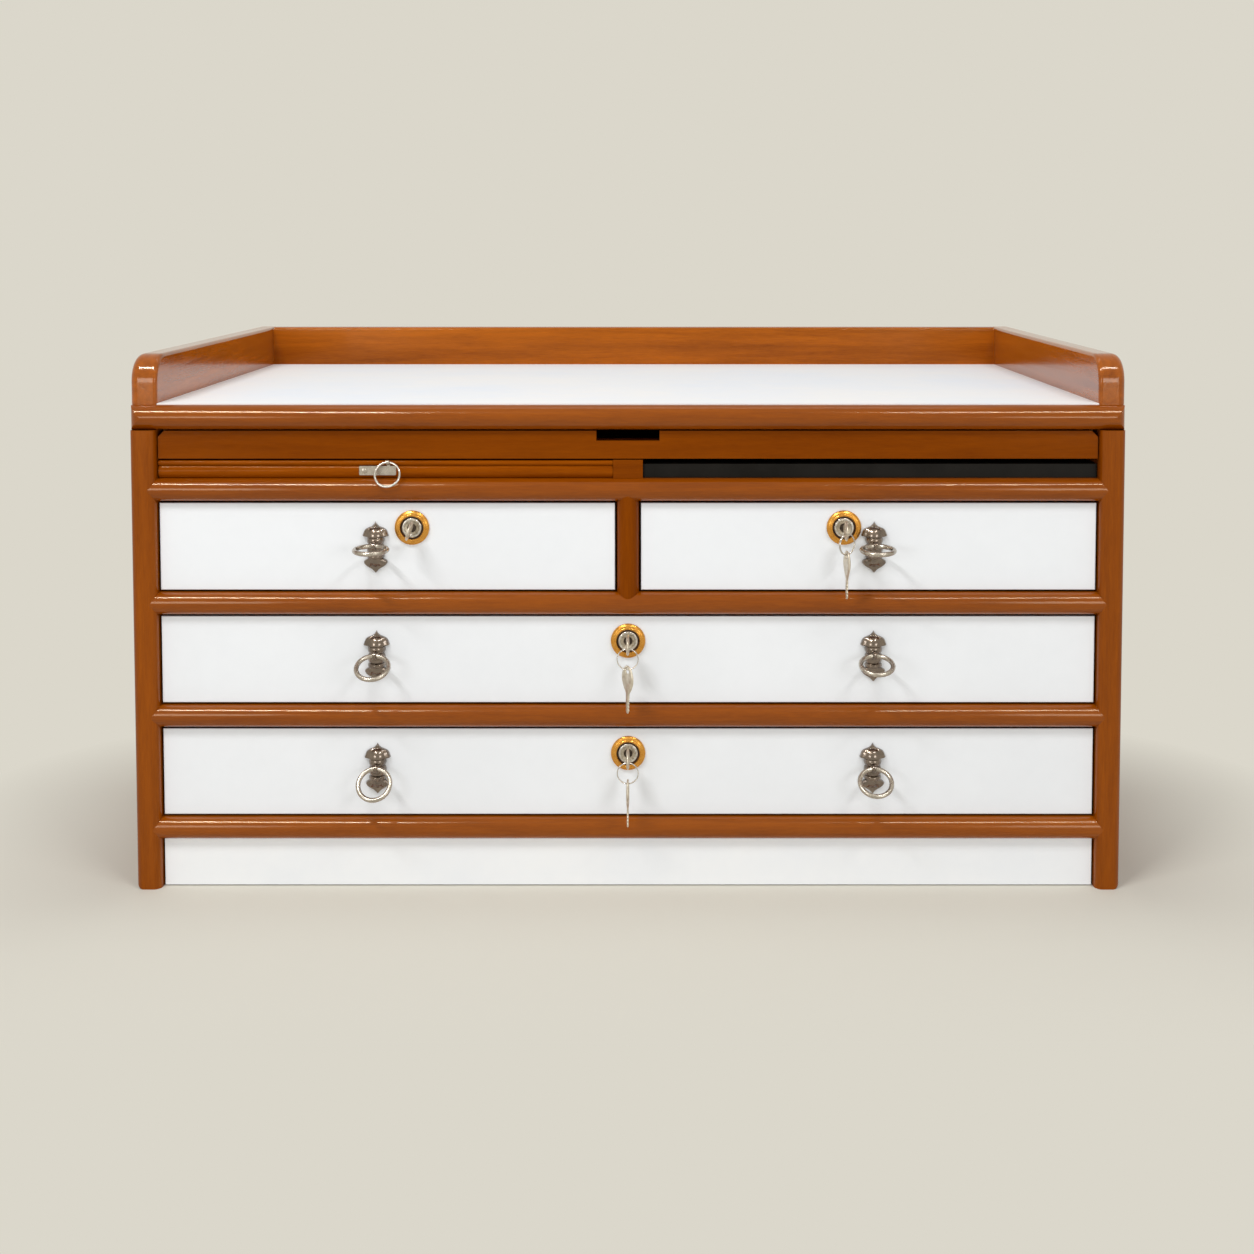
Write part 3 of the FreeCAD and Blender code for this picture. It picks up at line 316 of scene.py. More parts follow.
class StageSettings(bpy.types.PropertyGroup):
    """Camera, floor and light."""

    ground: tint("Ground", "Background and far floor", 219, 215, 203)
    floor: tint("Floor", "Matt floor under the unit", 219, 215, 203)
    camera_x: length("Camera x", "Camera to the right of the middle", 21.0)
    camera_y: length("Camera y", "Camera behind the middle, negative in front", -1446.1)
    camera_z: length("Camera z", "Camera above the floor", 529.4)
    pitch: turn("Pitch", "Camera tilted down", 3.0)
    lens: share("Lens", "Focal length in millimetres on a 36 mm sensor", 45.08)
    shift_x: share("Shift x", "Sideways lens shift", -0.0215)
    shift_y: share("Shift y", "Upright lens shift", -0.2448)
    world: share("World", "Strength of the even light all round", 0.43)
    high_left: share("High left lamp", "Power of the long lamp high on the left in watts", 13.2)
    high_right: share("High right lamp", "Power of the long lamp high on the right in watts", 7)
    low_left: share("Low left lamp", "Power of the lamp low on the left in watts", 3.1)
    low_right: share("Low right lamp", "Power of the lamp low on the right in watts", 3.1)
    overhead: share("Overhead lamp", "Power of the lamp above the unit in watts", 2.0)


SETTINGS = {
    "drawer_unit_pulls": PullSizes,
    "drawer_unit_locks": LockSizes,
    "drawer_unit_strip": StripSizes,
    "drawer_unit_colours": FinishColours,
    "drawer_unit_stage": StageSettings,
}


def strip_of(rows, columns, wrap_rows=False, wrap_columns=True, start=0):
    """Quads of a grid of points as an array of four indices each, wrapped round where asked."""
    index = np.arange(rows * columns).reshape(rows, columns) + start
    if wrap_columns:
        index = np.concatenate([index, index[:, :1]], axis=1)
    if wrap_rows:
        index = np.concatenate([index, index[:1]], axis=0)
    corners = (index[:-1, :-1], index[:-1, 1:], index[1:, 1:], index[1:, :-1])
    return np.stack([corner.ravel() for corner in corners], axis=1)


def piece(name, shells, body, node, materials):
    """
    Object from shells, in the place of a CAD node. A shell is (grid of points, wrap rows, material
    number). Points that meet at poles and ends are merged, and faces are turned outwards.
    """
    points, faces, finishes, start = [], [], [], 0
    for grid, wrap_rows, number in shells:
        rows, columns = grid.shape[:2]
        quads = strip_of(rows, columns, wrap_rows, start=start)
        points.append(grid.reshape(-1, 3))
        faces.append(quads)
        finishes.append(np.full(len(quads), number))
        start += rows * columns
    mesh = bpy.data.meshes.new(name)
    mesh.from_pydata(np.concatenate(points), [], np.concatenate(faces))
    mesh.polygons.foreach_set("material_index", np.concatenate(finishes).astype(np.int32))
    for material in materials:
        mesh.materials.append(material)
    merge(mesh)
    mesh.polygons.foreach_set("use_smooth", np.ones(len(mesh.polygons), dtype=bool))
    mesh.set_sharp_from_angle(angle=SMOOTH_ANGLE)
    made = bpy.data.objects.new(name, mesh)
    bpy.context.scene.collection.objects.link(made)
    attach(made, body)
    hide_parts(node)
    return made


def merge(mesh):
    """Merge points that coincide and turn the faces of each closed shell outwards."""
    work = bmesh.new()
    work.from_mesh(mesh)
    bmesh.ops.remove_doubles(work, verts=work.verts, dist=MERGE_DISTANCE)
    bmesh.ops.dissolve_degenerate(work, edges=work.edges, dist=MERGE_DISTANCE)
    bmesh.ops.recalc_face_normals(work, faces=work.faces)
    work.to_mesh(mesh)
    work.free()


def softened(corners, radius, steps=4, closed=False):
    """
    Outline with its corners rounded. Each corner becomes a parabola from a point on the edge before it
    to a point on the edge after it, both at the radius, or at four tenths of a shorter edge. A point is
    kept a little before and after, so that flats stay flat in shading.
    """
    corners = np.asarray(corners, dtype=float)
    before = np.roll(corners, 1, axis=0) - corners
    after = np.roll(corners, -1, axis=0) - corners
    long_before = np.maximum(np.linalg.norm(before, axis=1, keepdims=True), MERGE_DISTANCE)
    long_after = np.maximum(np.linalg.norm(after, axis=1, keepdims=True), MERGE_DISTANCE)
    cut = np.minimum(radius, 0.4 * np.minimum(long_before, long_after))
    if not closed:
        cut[0] = cut[-1] = 0
    start = corners + before / long_before * cut
    end = corners + after / long_after * cut
    t = np.linspace(0, 1, steps)[None, :, None]
    arcs = (1 - t) ** 2 * start[:, None] + 2 * t * (1 - t) * corners[:, None] + t ** 2 * end[:, None]
    lead = corners + before / long_before * cut * HOLD
    tail = corners + after / long_after * cut * HOLD
    whole = np.concatenate([lead[:, None], arcs, tail[:, None]], axis=1).reshape(-1, 2)
    kept = np.ones(len(whole), dtype=bool)
    kept[1:] = np.linalg.norm(np.diff(whole, axis=0), axis=1) > MERGE_DISTANCE
    return whole[kept]


def basis(axis):
    """Two unit vectors square to an axis and to each other."""
    axis = np.asarray(axis, dtype=float)
    other = np.array([0.0, 0.0, 1.0]) if abs(axis[2]) < 0.9 else np.array([1.0, 0.0, 0.0])
    first = np.cross(axis, other)
    first /= np.linalg.norm(first)
    return first, np.cross(axis, first)


def lathe(profile, centre, axis, around=64):
    """
    Turned surface: a profile of (radius, station) carried round an axis. The point is the centre, plus
    the station along the axis, plus the radius times the cosine and sine of the angle across it.
    """
    first, second = basis(axis)
    angle = np.linspace(0, 2 * np.pi, around, endpoint=False)
    spoke = np.cos(angle)[:, None] * first + np.sin(angle)[:, None] * second
    radius, station = np.asarray(profile).T
    return centre + station[:, None, None] * np.asarray(axis) + radius[:, None, None] * spoke[None]


def ring_tube(centre, radius, wire, first, second, rows=96, columns=24):
    """
    Round ring. The point is the centre, plus (ring radius + wire radius times cosine b) in the direction
    of angle a in the ring's plane, plus wire radius times sine b square to the plane.
    """
    a = np.linspace(0, 2 * np.pi, rows, endpoint=False)
    b = np.linspace(0, 2 * np.pi, columns, endpoint=False)
    spoke = np.cos(a)[:, None] * first + np.sin(a)[:, None] * second
    reach = radius + wire * np.cos(b)
    normal = np.cross(first, second)
    return centre + reach[None, :, None] * spoke[:, None] + (wire * np.sin(b))[None, :, None] * normal


def coil_tube(centre, radius, wire, first, second, turns=2, rows=144, columns=12):
    """
    Split ring: a wire coiled twice side by side. At angle a the wire's middle is at the ring radius and
    is moved along the ring's axis by an S curve of a, one wire's width per turn. The ends are drawn to
    points to close them.
    """
    share_run = np.linspace(0, 1, rows)
    a = share_run * 2 * np.pi * turns + 0.4
    b = np.linspace(0, 2 * np.pi, columns, endpoint=False)
    normal = np.cross(first, second)
    spoke = np.cos(a)[:, None] * first + np.sin(a)[:, None] * second
    offset = np.tanh((share_run - 0.5) * 14) * wire
    thick = wire * np.minimum(1, np.minimum(np.arange(rows), np.arange(rows)[::-1]))
    reach = radius + thick[:, None] * np.cos(b)
    lift = offset[:, None] + thick[:, None] * np.sin(b)
    return centre + reach[..., None] * spoke[:, None] + lift[..., None] * normal


def plate_tube(outline, stations, centre, across, up, out):
    """
    Flat plate: a closed outline carried straight through its thickness. Stations are (offset, inset): at
    each one the outline is drawn in towards its middle by the inset. The first and last are closed.
    """
    outline = np.asarray(outline)
    middle = outline.mean(axis=0)
    arm = outline - middle
    span = np.linalg.norm(arm, axis=1, keepdims=True)
    rings = []
    for offset, inset in stations:
        flat = middle + arm * np.maximum(1 - inset / span, 0)
        rings.append(centre + flat[:, :1] * across + flat[:, 1:] * up + offset * out)
    return np.stack(rings)


def rounded_box(left, right, low, high, radius, steps=6):
    """Closed outline of a rectangle with round corners."""
    corners = [(left, low), (right, low), (right, high), (left, high)]
    return softened(corners, radius, steps, closed=True)


def curve_through(points, steps=8):
    """
    Smooth curve through points: on each span the cubic that passes its two ends with the slope of the
    chord between their neighbours.
    """
    points = np.asarray(points, dtype=float)
    padded = np.concatenate([2 * points[:1] - points[1:2], points, 2 * points[-1:] - points[-2:-1]])
    p0, p1, p2, p3 = (padded[k:len(padded) - 3 + k, None] for k in range(4))
    t = np.linspace(0, 1, steps, endpoint=False)[None, :, None]
    spans = 0.5 * (2 * p1 + (p2 - p0) * t + (2 * p0 - 5 * p1 + 4 * p2 - p3) * t ** 2
                   + (3 * p1 - p0 - 3 * p2 + p3) * t ** 3)
    return np.concatenate([spans.reshape(-1, points.shape[1]), points[-1:]])


def pull_outline(sizes):
    """
    Half width and height of the casting from the spike down to the tip. The cap and the spade are smooth
    curves through a few places, given as shares of their half width and height. The barrel between
    them has three beads, each half a sine wave on its neck.
    """
    cap_high = sizes.top - sizes.cap_lip
    wide_at = sizes.cap_half
    cap = curve_through([(wide_at * wide, sizes.top - cap_high * drop) for wide, drop in CAP_SHAPE], 6)
    lip = curve_through([(wide_at, sizes.cap_lip), (wide_at * 0.985, sizes.cap_lip - 0.45 * MM),
                         (wide_at * 0.88, sizes.cap_base + 0.15 * MM), (wide_at * 0.78, sizes.cap_base)], 4)
    neck = sizes.barrel - sizes.bead
    joints = np.array([sizes.cap_base, 0.3 * MM, -sizes.knuckle, -sizes.spade_top])
    share_run = np.linspace(0, 1, 20, endpoint=False)
    heights = (joints[:-1, None] + np.diff(joints)[:, None] * share_run).ravel()
    beads = neck + sizes.bead * np.tile(np.sqrt(np.sin(np.pi * share_run)), len(joints) - 1)
    spade_high = sizes.tip - sizes.spade_top
    spade = curve_through([(sizes.spade_half * wide, -sizes.spade_top - spade_high * drop)
                           for wide, drop in SPADE_SHAPE], 6)
    barrel = np.stack([beads, heights], axis=1)
    return cap, lip, barrel, spade


def pull_casting(sizes, eye):
    """
    Relief of a pull on the drawer front. Across the casting x runs from minus to plus the half width.
    The height is the power mean of a plate and a turned core. The core's radius is a quarter ellipse in
    the cap, the beads on the barrel and another quarter ellipse in the spade. The plate has round edges
    and is crowned: its height grows with one minus the square of the share across, up to most of the core.
    """
    cap, lip, barrel, spade = pull_outline(sizes)
    outline = np.concatenate([cap[:-1], lip, barrel, spade])
    half, rise = np.maximum(outline[:, 0], 0), outline[:, 1]
    upper = np.clip((rise - sizes.cap_base) / (sizes.dome_top - sizes.cap_base), 0, 1)
    lower = np.clip((-sizes.spade_top - rise) / (sizes.dome_low - sizes.spade_top), 0, 1)
    core = sizes.barrel * np.sqrt(1 - upper ** 2) * (rise >= sizes.cap_base)
    core = core + (sizes.barrel - sizes.bead) * np.sqrt(1 - lower ** 2) * (rise <= -sizes.spade_top)
    between = (rise < sizes.cap_base) & (rise > -sizes.spade_top)
    core = np.where(between, half, core)
    u = np.sin(np.linspace(-np.pi / 2, np.pi / 2, 45))
    x = half[:, None] * u
    border = half[:, None] * (1 - np.abs(u))
    crown = np.maximum(CROWN * core - sizes.plate, 0)[:, None] * (1 - u ** 2)
    plate = (sizes.plate + crown) * np.sqrt(1 - np.clip(1 - border / PLATE_ROUND, 0, 1) ** 2)
    turned = np.sqrt(np.maximum(core[:, None] ** 2 - x ** 2, 0))
    height = (plate ** BLEND + turned ** BLEND) ** (1 / BLEND)
    z = np.broadcast_to(rise[:, None], x.shape)
    return np.array([eye[0], eye[1] + sizes.eye_out, eye[2]]) + np.stack([x, -height, z], axis=2)


def eye_ring(sizes, eye, edge, around):
    """Eye that carries a ring: a rectangle with round edges, turned about X."""
    half = sizes.eye_half
    profile = softened([(sizes.eye_bore, -half), (sizes.eye_rim, -half), (sizes.eye_rim, half),
                        (sizes.eye_bore, half)], edge, 4, True)
    return lathe(profile, eye, (1, 0, 0), around), True, 0


def pull_lug(sizes, eye):
    """Eye of a pull, and the short turned web that joins it to the barrel."""
    web_start = sizes.eye_out - sizes.barrel + 1 * MM
    web_end = (sizes.eye_bore + sizes.eye_rim) / 2
    web = [(0, web_end), (1.4 * MM, web_end), (1.7 * MM, web_start), (0, web_start)]
    return [eye_ring(sizes, eye, EYE_ROUND, 40), (lathe(web, eye, (0, 1, 0), 24), False, 0)]


def bolt_head(sizes, eye):
    """Round head of the bolt behind the drawer front: a flat disc with a soft edge and a shallow dimple."""
    thick, radius = sizes.bolt_head_thick, sizes.bolt_head
    profile = softened([(0, 0), (radius, 0), (radius, thick), (0.45 * radius, thick),
                        (0.3 * radius, 0.6 * thick), (0, 0.6 * thick)], HEAD_ROUND)
    centre = np.array([eye[0], eye[1] + sizes.eye_out + sizes.front_thick, eye[2]])
    return [(lathe(profile, centre, (0, 1, 0), 32), False, 0)]


def turned_about(axis, angle):
    """Matrix that turns by an angle about a unit axis."""
    axis = np.asarray(axis, dtype=float)
    cross = np.array([[0, -axis[2], axis[1]], [axis[2], 0, -axis[0]], [-axis[1], axis[0], 0]])
    level, upright = math.cos(angle), math.sin(angle)
    return np.eye(3) * level + upright * cross + (1 - level) * np.outer(axis, axis)


def key_shells(sizes, hole, along, across):
    """
    Key from its hole: a bow and a blade. The bow runs from the hole's rim (share 0) to a leaf-shaped
    outline (share 1), and its thickness is a sine wave of the share on top of the thickness of its
    edge. The blade is a rounded bar along the key, whose lower edge has a wave of teeth.
    """
    along, across = np.asarray(along, dtype=float), np.asarray(across, dtype=float)
    normal = np.cross(along, across)
    half = curve_through([(sizes.bow * far - sizes.bow + sizes.hole_out, sizes.bow_half * wide)
                          for far, wide in LEAF_SHAPE], 6)
    outline = np.concatenate([half, half[-2:0:-1] * (1, -1)])
    bearing = np.arctan2(outline[:, 1], outline[:, 0])
    rim = sizes.hole * np.stack([np.cos(bearing), np.sin(bearing)], axis=1)
    f = np.sin(np.linspace(0, np.pi / 2, 14)) ** 2
    flat = rim[:, None] + (outline - rim)[:, None] * f[None, :, None]
    room = np.clip(np.linalg.norm(outline - rim, axis=1) / sizes.bow_half, 0, 1)[:, None]
    belly = sizes.edge_thick / 2 + (sizes.bow_thick - sizes.edge_thick) / 2 * room * np.sin(np.pi * f) ** 0.8
    thick = belly * np.minimum(1, 6 * np.minimum(f, 1 - f) + 0.001) ** 0.5
    loop = np.concatenate([flat, flat[:, ::-1]], axis=1)
    lift = np.concatenate([thick, -thick[:, ::-1]], axis=1)
    bow = hole + loop[..., :1] * along + loop[..., 1:] * across + lift[..., None] * normal
    run = np.linspace(0, 1, 61)
    start = sizes.hole_out - BLADE_ROOT
    reach = start + run * (sizes.blade + BLADE_ROOT)
    point = np.minimum(1, (1 - run) * 9) ** 0.6
    teeth = np.where(run > TEETH_START, TEETH_DEEP * np.abs((run * TEETH_COUNT) % 1 - 0.5) * 2, 0)
    around = np.linspace(0, 2 * np.pi, 16, endpoint=False)
    side = np.sign(np.cos(around)) * np.abs(np.cos(around)) ** 0.5
    edge = np.sign(np.sin(around)) * np.abs(np.sin(around)) ** 0.5
    low = sizes.blade_half - teeth
    width = np.where(edge[None] > 0, sizes.blade_half, low[:, None]) * edge[None] * point[:, None]
    depth = sizes.blade_thick / 2 * side[None] * np.minimum(1, point[:, None] + 0.2)
    closed = np.ones(len(run))
    closed[0] = closed[-1] = 0
    blade = (hole + reach[:, None, None] * along + (width * closed[:, None])[..., None] * across
             + (depth * closed[:, None])[..., None] * normal)
    return [(bow, True, 0), (blade, False, 0)]


def lock_shells(sizes, centre):
    """Lock body, turned: a flange with a soft bevel, the barrel behind it, the recess with painted shade and
    the nut.
    """
    out = (0, -1, 0)
    bore = sizes.plug + 0.05 * MM
    thick, wide = sizes.flange_thick, sizes.flange
    floor = sizes.bezel_floor
    bead = [(sizes.bezel + away * MM, thick - drop * MM) for away, drop in FLANGE_BEAD]
    bevel = [(wide - inset * MM, thick - drop * MM) for inset, drop in FLANGE_BEVEL]
    body = softened([(bore, floor), (sizes.bezel, floor), *bead, *bevel, (wide, 0), (sizes.barrel, 0),
                     (sizes.barrel, -sizes.barrel_end), (bore, -sizes.barrel_end)], LOCK_ROUND, 5, True)
    # A thin disc on the floor of the recess takes the dark finish: painted shade in the recess.
    recess = [(bore, floor), (sizes.bezel - 0.02 * MM, floor), (sizes.bezel - 0.02 * MM, floor + 0.1 * MM),
              (bore, floor + 0.1 * MM)]
    nut = softened([(sizes.barrel, -sizes.front_thick), (sizes.nut, -sizes.front_thick),
                    (sizes.nut, -sizes.front_thick - sizes.nut_thick),
                    (sizes.barrel, -sizes.front_thick - sizes.nut_thick)], HEAD_ROUND, 4, True)
    return [(lathe(body, centre, out, 80), True, 0), (lathe(recess, centre, out, 64), True, 1),
            (lathe(nut, centre, out, 6), True, 0)]


def plug_shells(sizes, centre, angle):
    """Lock plug, turned, with a dished face painted dark round the key as shade, and the cam behind it."""
    out = np.array([0.0, -1.0, 0.0])
    face, radius, dish = sizes.plug_face, sizes.plug, sizes.plug_dish
    keyway = sizes.keyway
    swell = [(wide * radius, face - deep * dish) for wide, deep in PLUG_FACE]
    rim = softened([(keyway, face - dish), *swell, (radius, face - 0.4 * MM), (radius, -sizes.cam_start),
                    (0, -sizes.cam_start)], PLUG_ROUND)
    # The middle of the face round the key takes the dark finish: painted shade.
    dished = softened([(0, face - 2 * dish), (0.8 * keyway, face - 2 * dish), (keyway, face - dish)], 0)
    spin = turned_about((0, 1, 0), angle)
    outline = rounded_box(-sizes.cam_reach, sizes.cam_half, -sizes.cam_half, sizes.cam_half, CAM_CORNER)
    bevel, thick = CAM_BEVEL, sizes.cam_thick
    stations = [(0, 1), (0, bevel), (bevel, 0), (thick - bevel, 0), (thick, bevel), (thick, 1)]
    cam = plate_tube(outline, stations, centre - out * sizes.cam_start, spin @ (1, 0, 0), spin @ (0, 0, 1),
                     -out)
    face_rows = len(dished)
    turned = lathe(np.concatenate([dished, rim[1:]]), centre, out, 64)
    return [(turned[:face_rows], False, 1), (turned[face_rows - 1:], False, 0),
            (cam, False, 0)]


def feed(tree, socket, value):
    """Link a socket to another one, or set it to a plain value."""
    if isinstance(value, bpy.types.NodeSocket):
        tree.links.new(value, socket)
    else:
        socket.default_value = value


def feed_all(tree, node, values):
    """Feed a node's sockets by name."""
    for name, value in values.items():
        feed(tree, node.inputs[name], value)


def add(tree, kind, **values):
    """Node of a kind, with attributes set by name and sockets fed by their names with underscores."""
    made = tree.nodes.new(kind)
    for name, value in values.items():
        socket = made.inputs.get(name.replace("_", " "))
        if socket is not None and not hasattr(made, name):
            feed(tree, socket, value)
        else:
            setattr(made, name, value)
    return made


def math_node(tree, operation, first, second):
    """Result of a sum on two sockets or numbers."""
    made = add(tree, "ShaderNodeMath", operation=operation)
    feed(tree, made.inputs[0], first)
    feed(tree, made.inputs[1], second)
    return made.outputs[0]


def spread(tree, value, low, high, new_low, new_high):
    """Value mapped from one range to another, held at the ends."""
    made = add(tree, "ShaderNodeMapRange", clamp=True, Value=value, From_Min=low, From_Max=high,
               To_Min=new_low, To_Max=new_high)
    return made.outputs["Result"]


def mixed(tree, factor, first, second):
    """Colour between two sockets or plain colours, by a factor socket."""
    made = add(tree, "ShaderNodeMix", data_type="RGBA", Factor=factor)
    for socket, value in zip((made.inputs[6], made.inputs[7]), (first, second)):
        feed(tree, socket, value if isinstance(value, bpy.types.NodeSocket) else (*value, 1))
    return made.outputs[2]


def noise(tree, vector, scale, detail, roughness=0.55, distortion=0.0):
    """Grey noise on a vector socket."""
    made = add(tree, "ShaderNodeTexNoise", Vector=vector, Scale=scale, Detail=detail, Roughness=roughness,
               Distortion=distortion)
    return made.outputs["Fac"]


def weighted(tree, parts):
    """Sum of sockets, each times its weight."""
    terms = [math_node(tree, "MULTIPLY", socket, weight) for socket, weight in parts]
    total = terms[0]
    for term in terms[1:]:
        total = math_node(tree, "ADD", total, term)
    return total


def object_place(tree):
    """Coordinates of the object that wears the material."""
    return add(tree, "ShaderNodeTexCoord").outputs["Object"]


def new_group(name, inputs, outputs):
    """Empty shader group with its sockets, and its input and output nodes."""
    group = bpy.data.node_groups.new(name, "ShaderNodeTree")
    for way, sockets in (("INPUT", inputs), ("OUTPUT", outputs)):
        for label, kind in sockets.items():
            group.interface.new_socket(name=label, in_out=way, socket_type="NodeSocket" + kind)
    return group, add(group, "NodeGroupInput").outputs, add(group, "NodeGroupOutput")


def grain_group():
    """Wood grain: broad bands, streaks and fine pores on a vector that is stretched along the grain."""
    group, given, result = new_group("wood_grain", {"Vector": "Vector", "Light": "Color", "Dark": "Color"},
                                     {"Color": "Color", "Height": "Float", "Polish": "Float"})
    bands = noise(group, given["Vector"], 0.16, 3, 0.5, 0.6)
    streaks = noise(group, given["Vector"], 1.0, 5, 0.6, 0.35)
    pores = noise(group, given["Vector"], 5.5, 3, 0.6)
    depth = weighted(group, [(bands, 0.45), (streaks, 0.4), (pores, 0.3)])
    shade = spread(group, depth, 0.40, 0.74, 0, 1)
    feed_all(group, result, {
        "Color": mixed(group, shade, given["Dark"], given["Light"]),
        "Height": weighted(group, [(streaks, 0.6), (pores, 0.4)]),
        "Polish": bands,
    })
    return group


def wear_group():
    """Handling marks: soft clouds and fine specks, as a mask and as a height."""
    group, given, result = new_group("handling_wear", {"Vector": "Vector", "Size": "Float"},
                                     {"Mask": "Float", "Height": "Float"})
    scaled = add(group, "ShaderNodeVectorMath", operation="SCALE", Vector=given["Vector"],
                 Scale=given["Size"]).outputs["Vector"]
    clouds = noise(group, scaled, 1.0, 4, 0.55)
    specks = noise(group, scaled, 9.0, 2, 0.5)
    both = weighted(group, [(clouds, 0.8), (specks, 0.2)])
    feed_all(group, result, {"Mask": spread(group, both, 0.36, 0.66, 0, 1), "Height": specks})
    return group


def finish_base(name, group_name, make_group):
    """Material with a surface shader and one shared group, which is made when first asked for."""
    material = bpy.data.materials.new(name)
    material.use_nodes = True
    tree = material.node_tree
    group = bpy.data.node_groups.get(group_name) or make_group()
    return material, tree, tree.nodes["Principled BSDF"], add(tree, "ShaderNodeGroup", node_tree=group)


def bump(tree, height, strength, distance):
    """Normal of a small relief from a height socket."""
    return add(tree, "ShaderNodeBump", Strength=strength, Distance=distance, Height=height).outputs["Normal"]


def wood(name, light, dark, along, polish, shine, coat=0.0):
    """Wooden finish whose grain runs along X, Y or Z: the grain group on coordinates stretched that way."""
    material, tree, shader, effect = finish_base(name, "wood_grain", grain_group)
    stretch = [GRAIN_ACROSS] * 3
    stretch["xyz".index(along)] = GRAIN_ALONG
    mapping = add(tree, "ShaderNodeMapping", Vector=object_place(tree), Scale=stretch)
    feed_all(tree, effect, {"Vector": mapping.outputs["Vector"], "Light": (*light, 1), "Dark": (*dark, 1)})
    feed_all(tree, shader, {
        "Base Color": effect.outputs["Color"],
        "Roughness": spread(tree, effect.outputs["Polish"], 0.35, 0.65, *polish),
        "Specular IOR Level": shine,
        "Specular Tint": SHEEN,
        "Coat Weight": coat,
        "Coat Roughness": 0.08,
        "Normal": bump(tree, effect.outputs["Height"], 0.3, GRAIN_DEEP),
    })
    return material


def worn(name, clean, rubbed, size, polish, metallic, relief=0.05, shine=0.5, coat=0.0):
    """Plain finish with handling marks: the wear group mixes two colours and two levels of polish."""
    material, tree, shader, effect = finish_base(name, "handling_wear", wear_group)
    feed_all(tree, effect, {"Vector": object_place(tree), "Size": size})
    mask = effect.outputs["Mask"]
    feed_all(tree, shader, {
        "Base Color": mixed(tree, mask, clean, rubbed),
        "Roughness": spread(tree, mask, 0, 1, *polish),
        "Metallic": metallic,
        "Specular IOR Level": shine,
        "Coat Weight": coat,
        "Coat Roughness": 0.12,
        "Coat IOR": 1.7,
        "Normal": bump(tree, effect.outputs["Height"], relief, MARK_DEEP),
    })
    return material


def board_edges_with_gap_shade(material, board, face):
    """Colour a white finish dark behind the thickness of its face sheet: partly bare board, partly painted
    shade in the gaps.
    """
    tree = material.node_tree
    colour = tree.nodes["Principled BSDF"].inputs["Base Color"]
    place = add(tree, "ShaderNodeSeparateXYZ", Vector=object_place(tree))
    behind = math_node(tree, "GREATER_THAN", place.outputs["Y"], face + SHEET)
    tree.links.new(mixed(tree, behind, colour.links[0].from_socket, board), colour)


def finish(name):
    """Finish by name, made when first asked for from its table and the colours in the scene's settings."""
    label = "finish_" + name
    made = bpy.data.materials.get(label)
    if made is None:
        make, table = (wood, WOODS) if name in WOODS else (worn, PLAIN)
        colours = bpy.context.scene.drawer_unit_colours
        first, second, *rest = table[name]
        made = make(label, getattr(colours, first), getattr(colours, second), *rest)
        # The fronts' edges and backs get the dark board colour, partly painted shade in the gaps.
        if name == "white_front":
            board_edges_with_gap_shade(made, colours.edge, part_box("middle_drawer_front")[0][1])
    return made


def dress(names, finish_name):
    """Give CAD nodes a finish."""
    material = finish(finish_name)
    for name in names:
        for slot in NODES[name].material_slots:
            slot.material = material


class DRAWERUNIT_OT_carcass(bpy.types.Operator):
    """Lacquer the wooden carcass, with the grain along each board"""

    bl_idname = "drawer_unit.carcass"
    bl_label = "Carcass"

    def execute(self, context):
        dress(["left_side_panel", "right_side_panel"], "lacquer_z")
        dress(["top_board", "slide_rail", "upper_rail", "middle_rail", "bottom_rail"], "nose_x")
        # The posts wear the darkened copy of the lacquer: painted shade.
        dress(["centre_post"], "deep_z")
        dress(["slide_post"], "deep_x")
        # The gallery wears the lightened copy of the lacquer: painted light.
        dress(["gallery_back"], "gallery_x")
        dress(["gallery_left", "gallery_right"], "gallery_y")
        dress(["carcass_screws"], "screw_steel")
        return {"FINISHED"}


class DRAWERUNIT_OT_white_faces(bpy.types.Operator):
    """Give the drawer fronts, the plinth and the top their white laminate"""

    bl_idname = "drawer_unit.white_faces"
    bl_label = "White faces"

    def execute(self, context):
        # The fronts' edges and backs are dark board, partly painted shade in the gaps round them.
        dress([name + "_front" for name in DRAWERS], "white_front")
        # The plinth gets the lightened white: painted light.
        dress(["plinth_panel"], "white_laminate")
        # The top gets the lightened white: painted light.
        dress(["top_laminate"], "white_top")
        return {"FINISHED"}


class DRAWERUNIT_OT_plain_boards(bpy.types.Operator):
    """Give the boards inside their plain unpainted wood"""

    bl_idname = "drawer_unit.plain_boards"
    bl_label = "Plain boards"

    def execute(self, context):
        dress([name + "_box" for name in DRAWERS] + ["pencil_drawer_box", "slide_guides", "centre_partition"],
              "plain_board")
        dress(["dust_boards", "back_panel"], "plain_board_x")
        return {"FINISHED"}


class DRAWERUNIT_OT_slides(bpy.types.Operator):
    """Finish the pencil drawer's front, the writing board and the black tray"""

    bl_idname = "drawer_unit.slides"
    bl_label = "Slides"

    def execute(self, context):
        # The pencil drawer's front wears the darkened lacquer: painted shade under the top's nose.
        dress(["pencil_drawer_front"], "deep_x")
        dress(["writing_board"], "lacquer_x")
        dress(["black_tray_front", "black_tray_box"], "satin_black")
        return {"FINISHED"}


class DRAWERUNIT_OT_pulls(bpy.types.Operator):
    """Build the finial pull castings with their eyes and bolts"""

    bl_idname = "drawer_unit.pulls"
    bl_label = "Pull castings"

    def execute(self, context):
        sizes = context.scene.drawer_unit_pulls
        for drawer in DRAWERS:
            shells = []
            for pull in PULLS[drawer]:
                eye = np.array(JOINTS[pull + "_ring_swing"]["pos_m"])
                shells.append((pull_casting(sizes, eye), False, 0))
                shells += pull_lug(sizes, eye) + bolt_head(sizes, eye)
            piece(drawer + "_finial_pulls", shells, drawer, drawer + "_pull_plates", [finish("aged_nickel")])
        return {"FINISHED"}


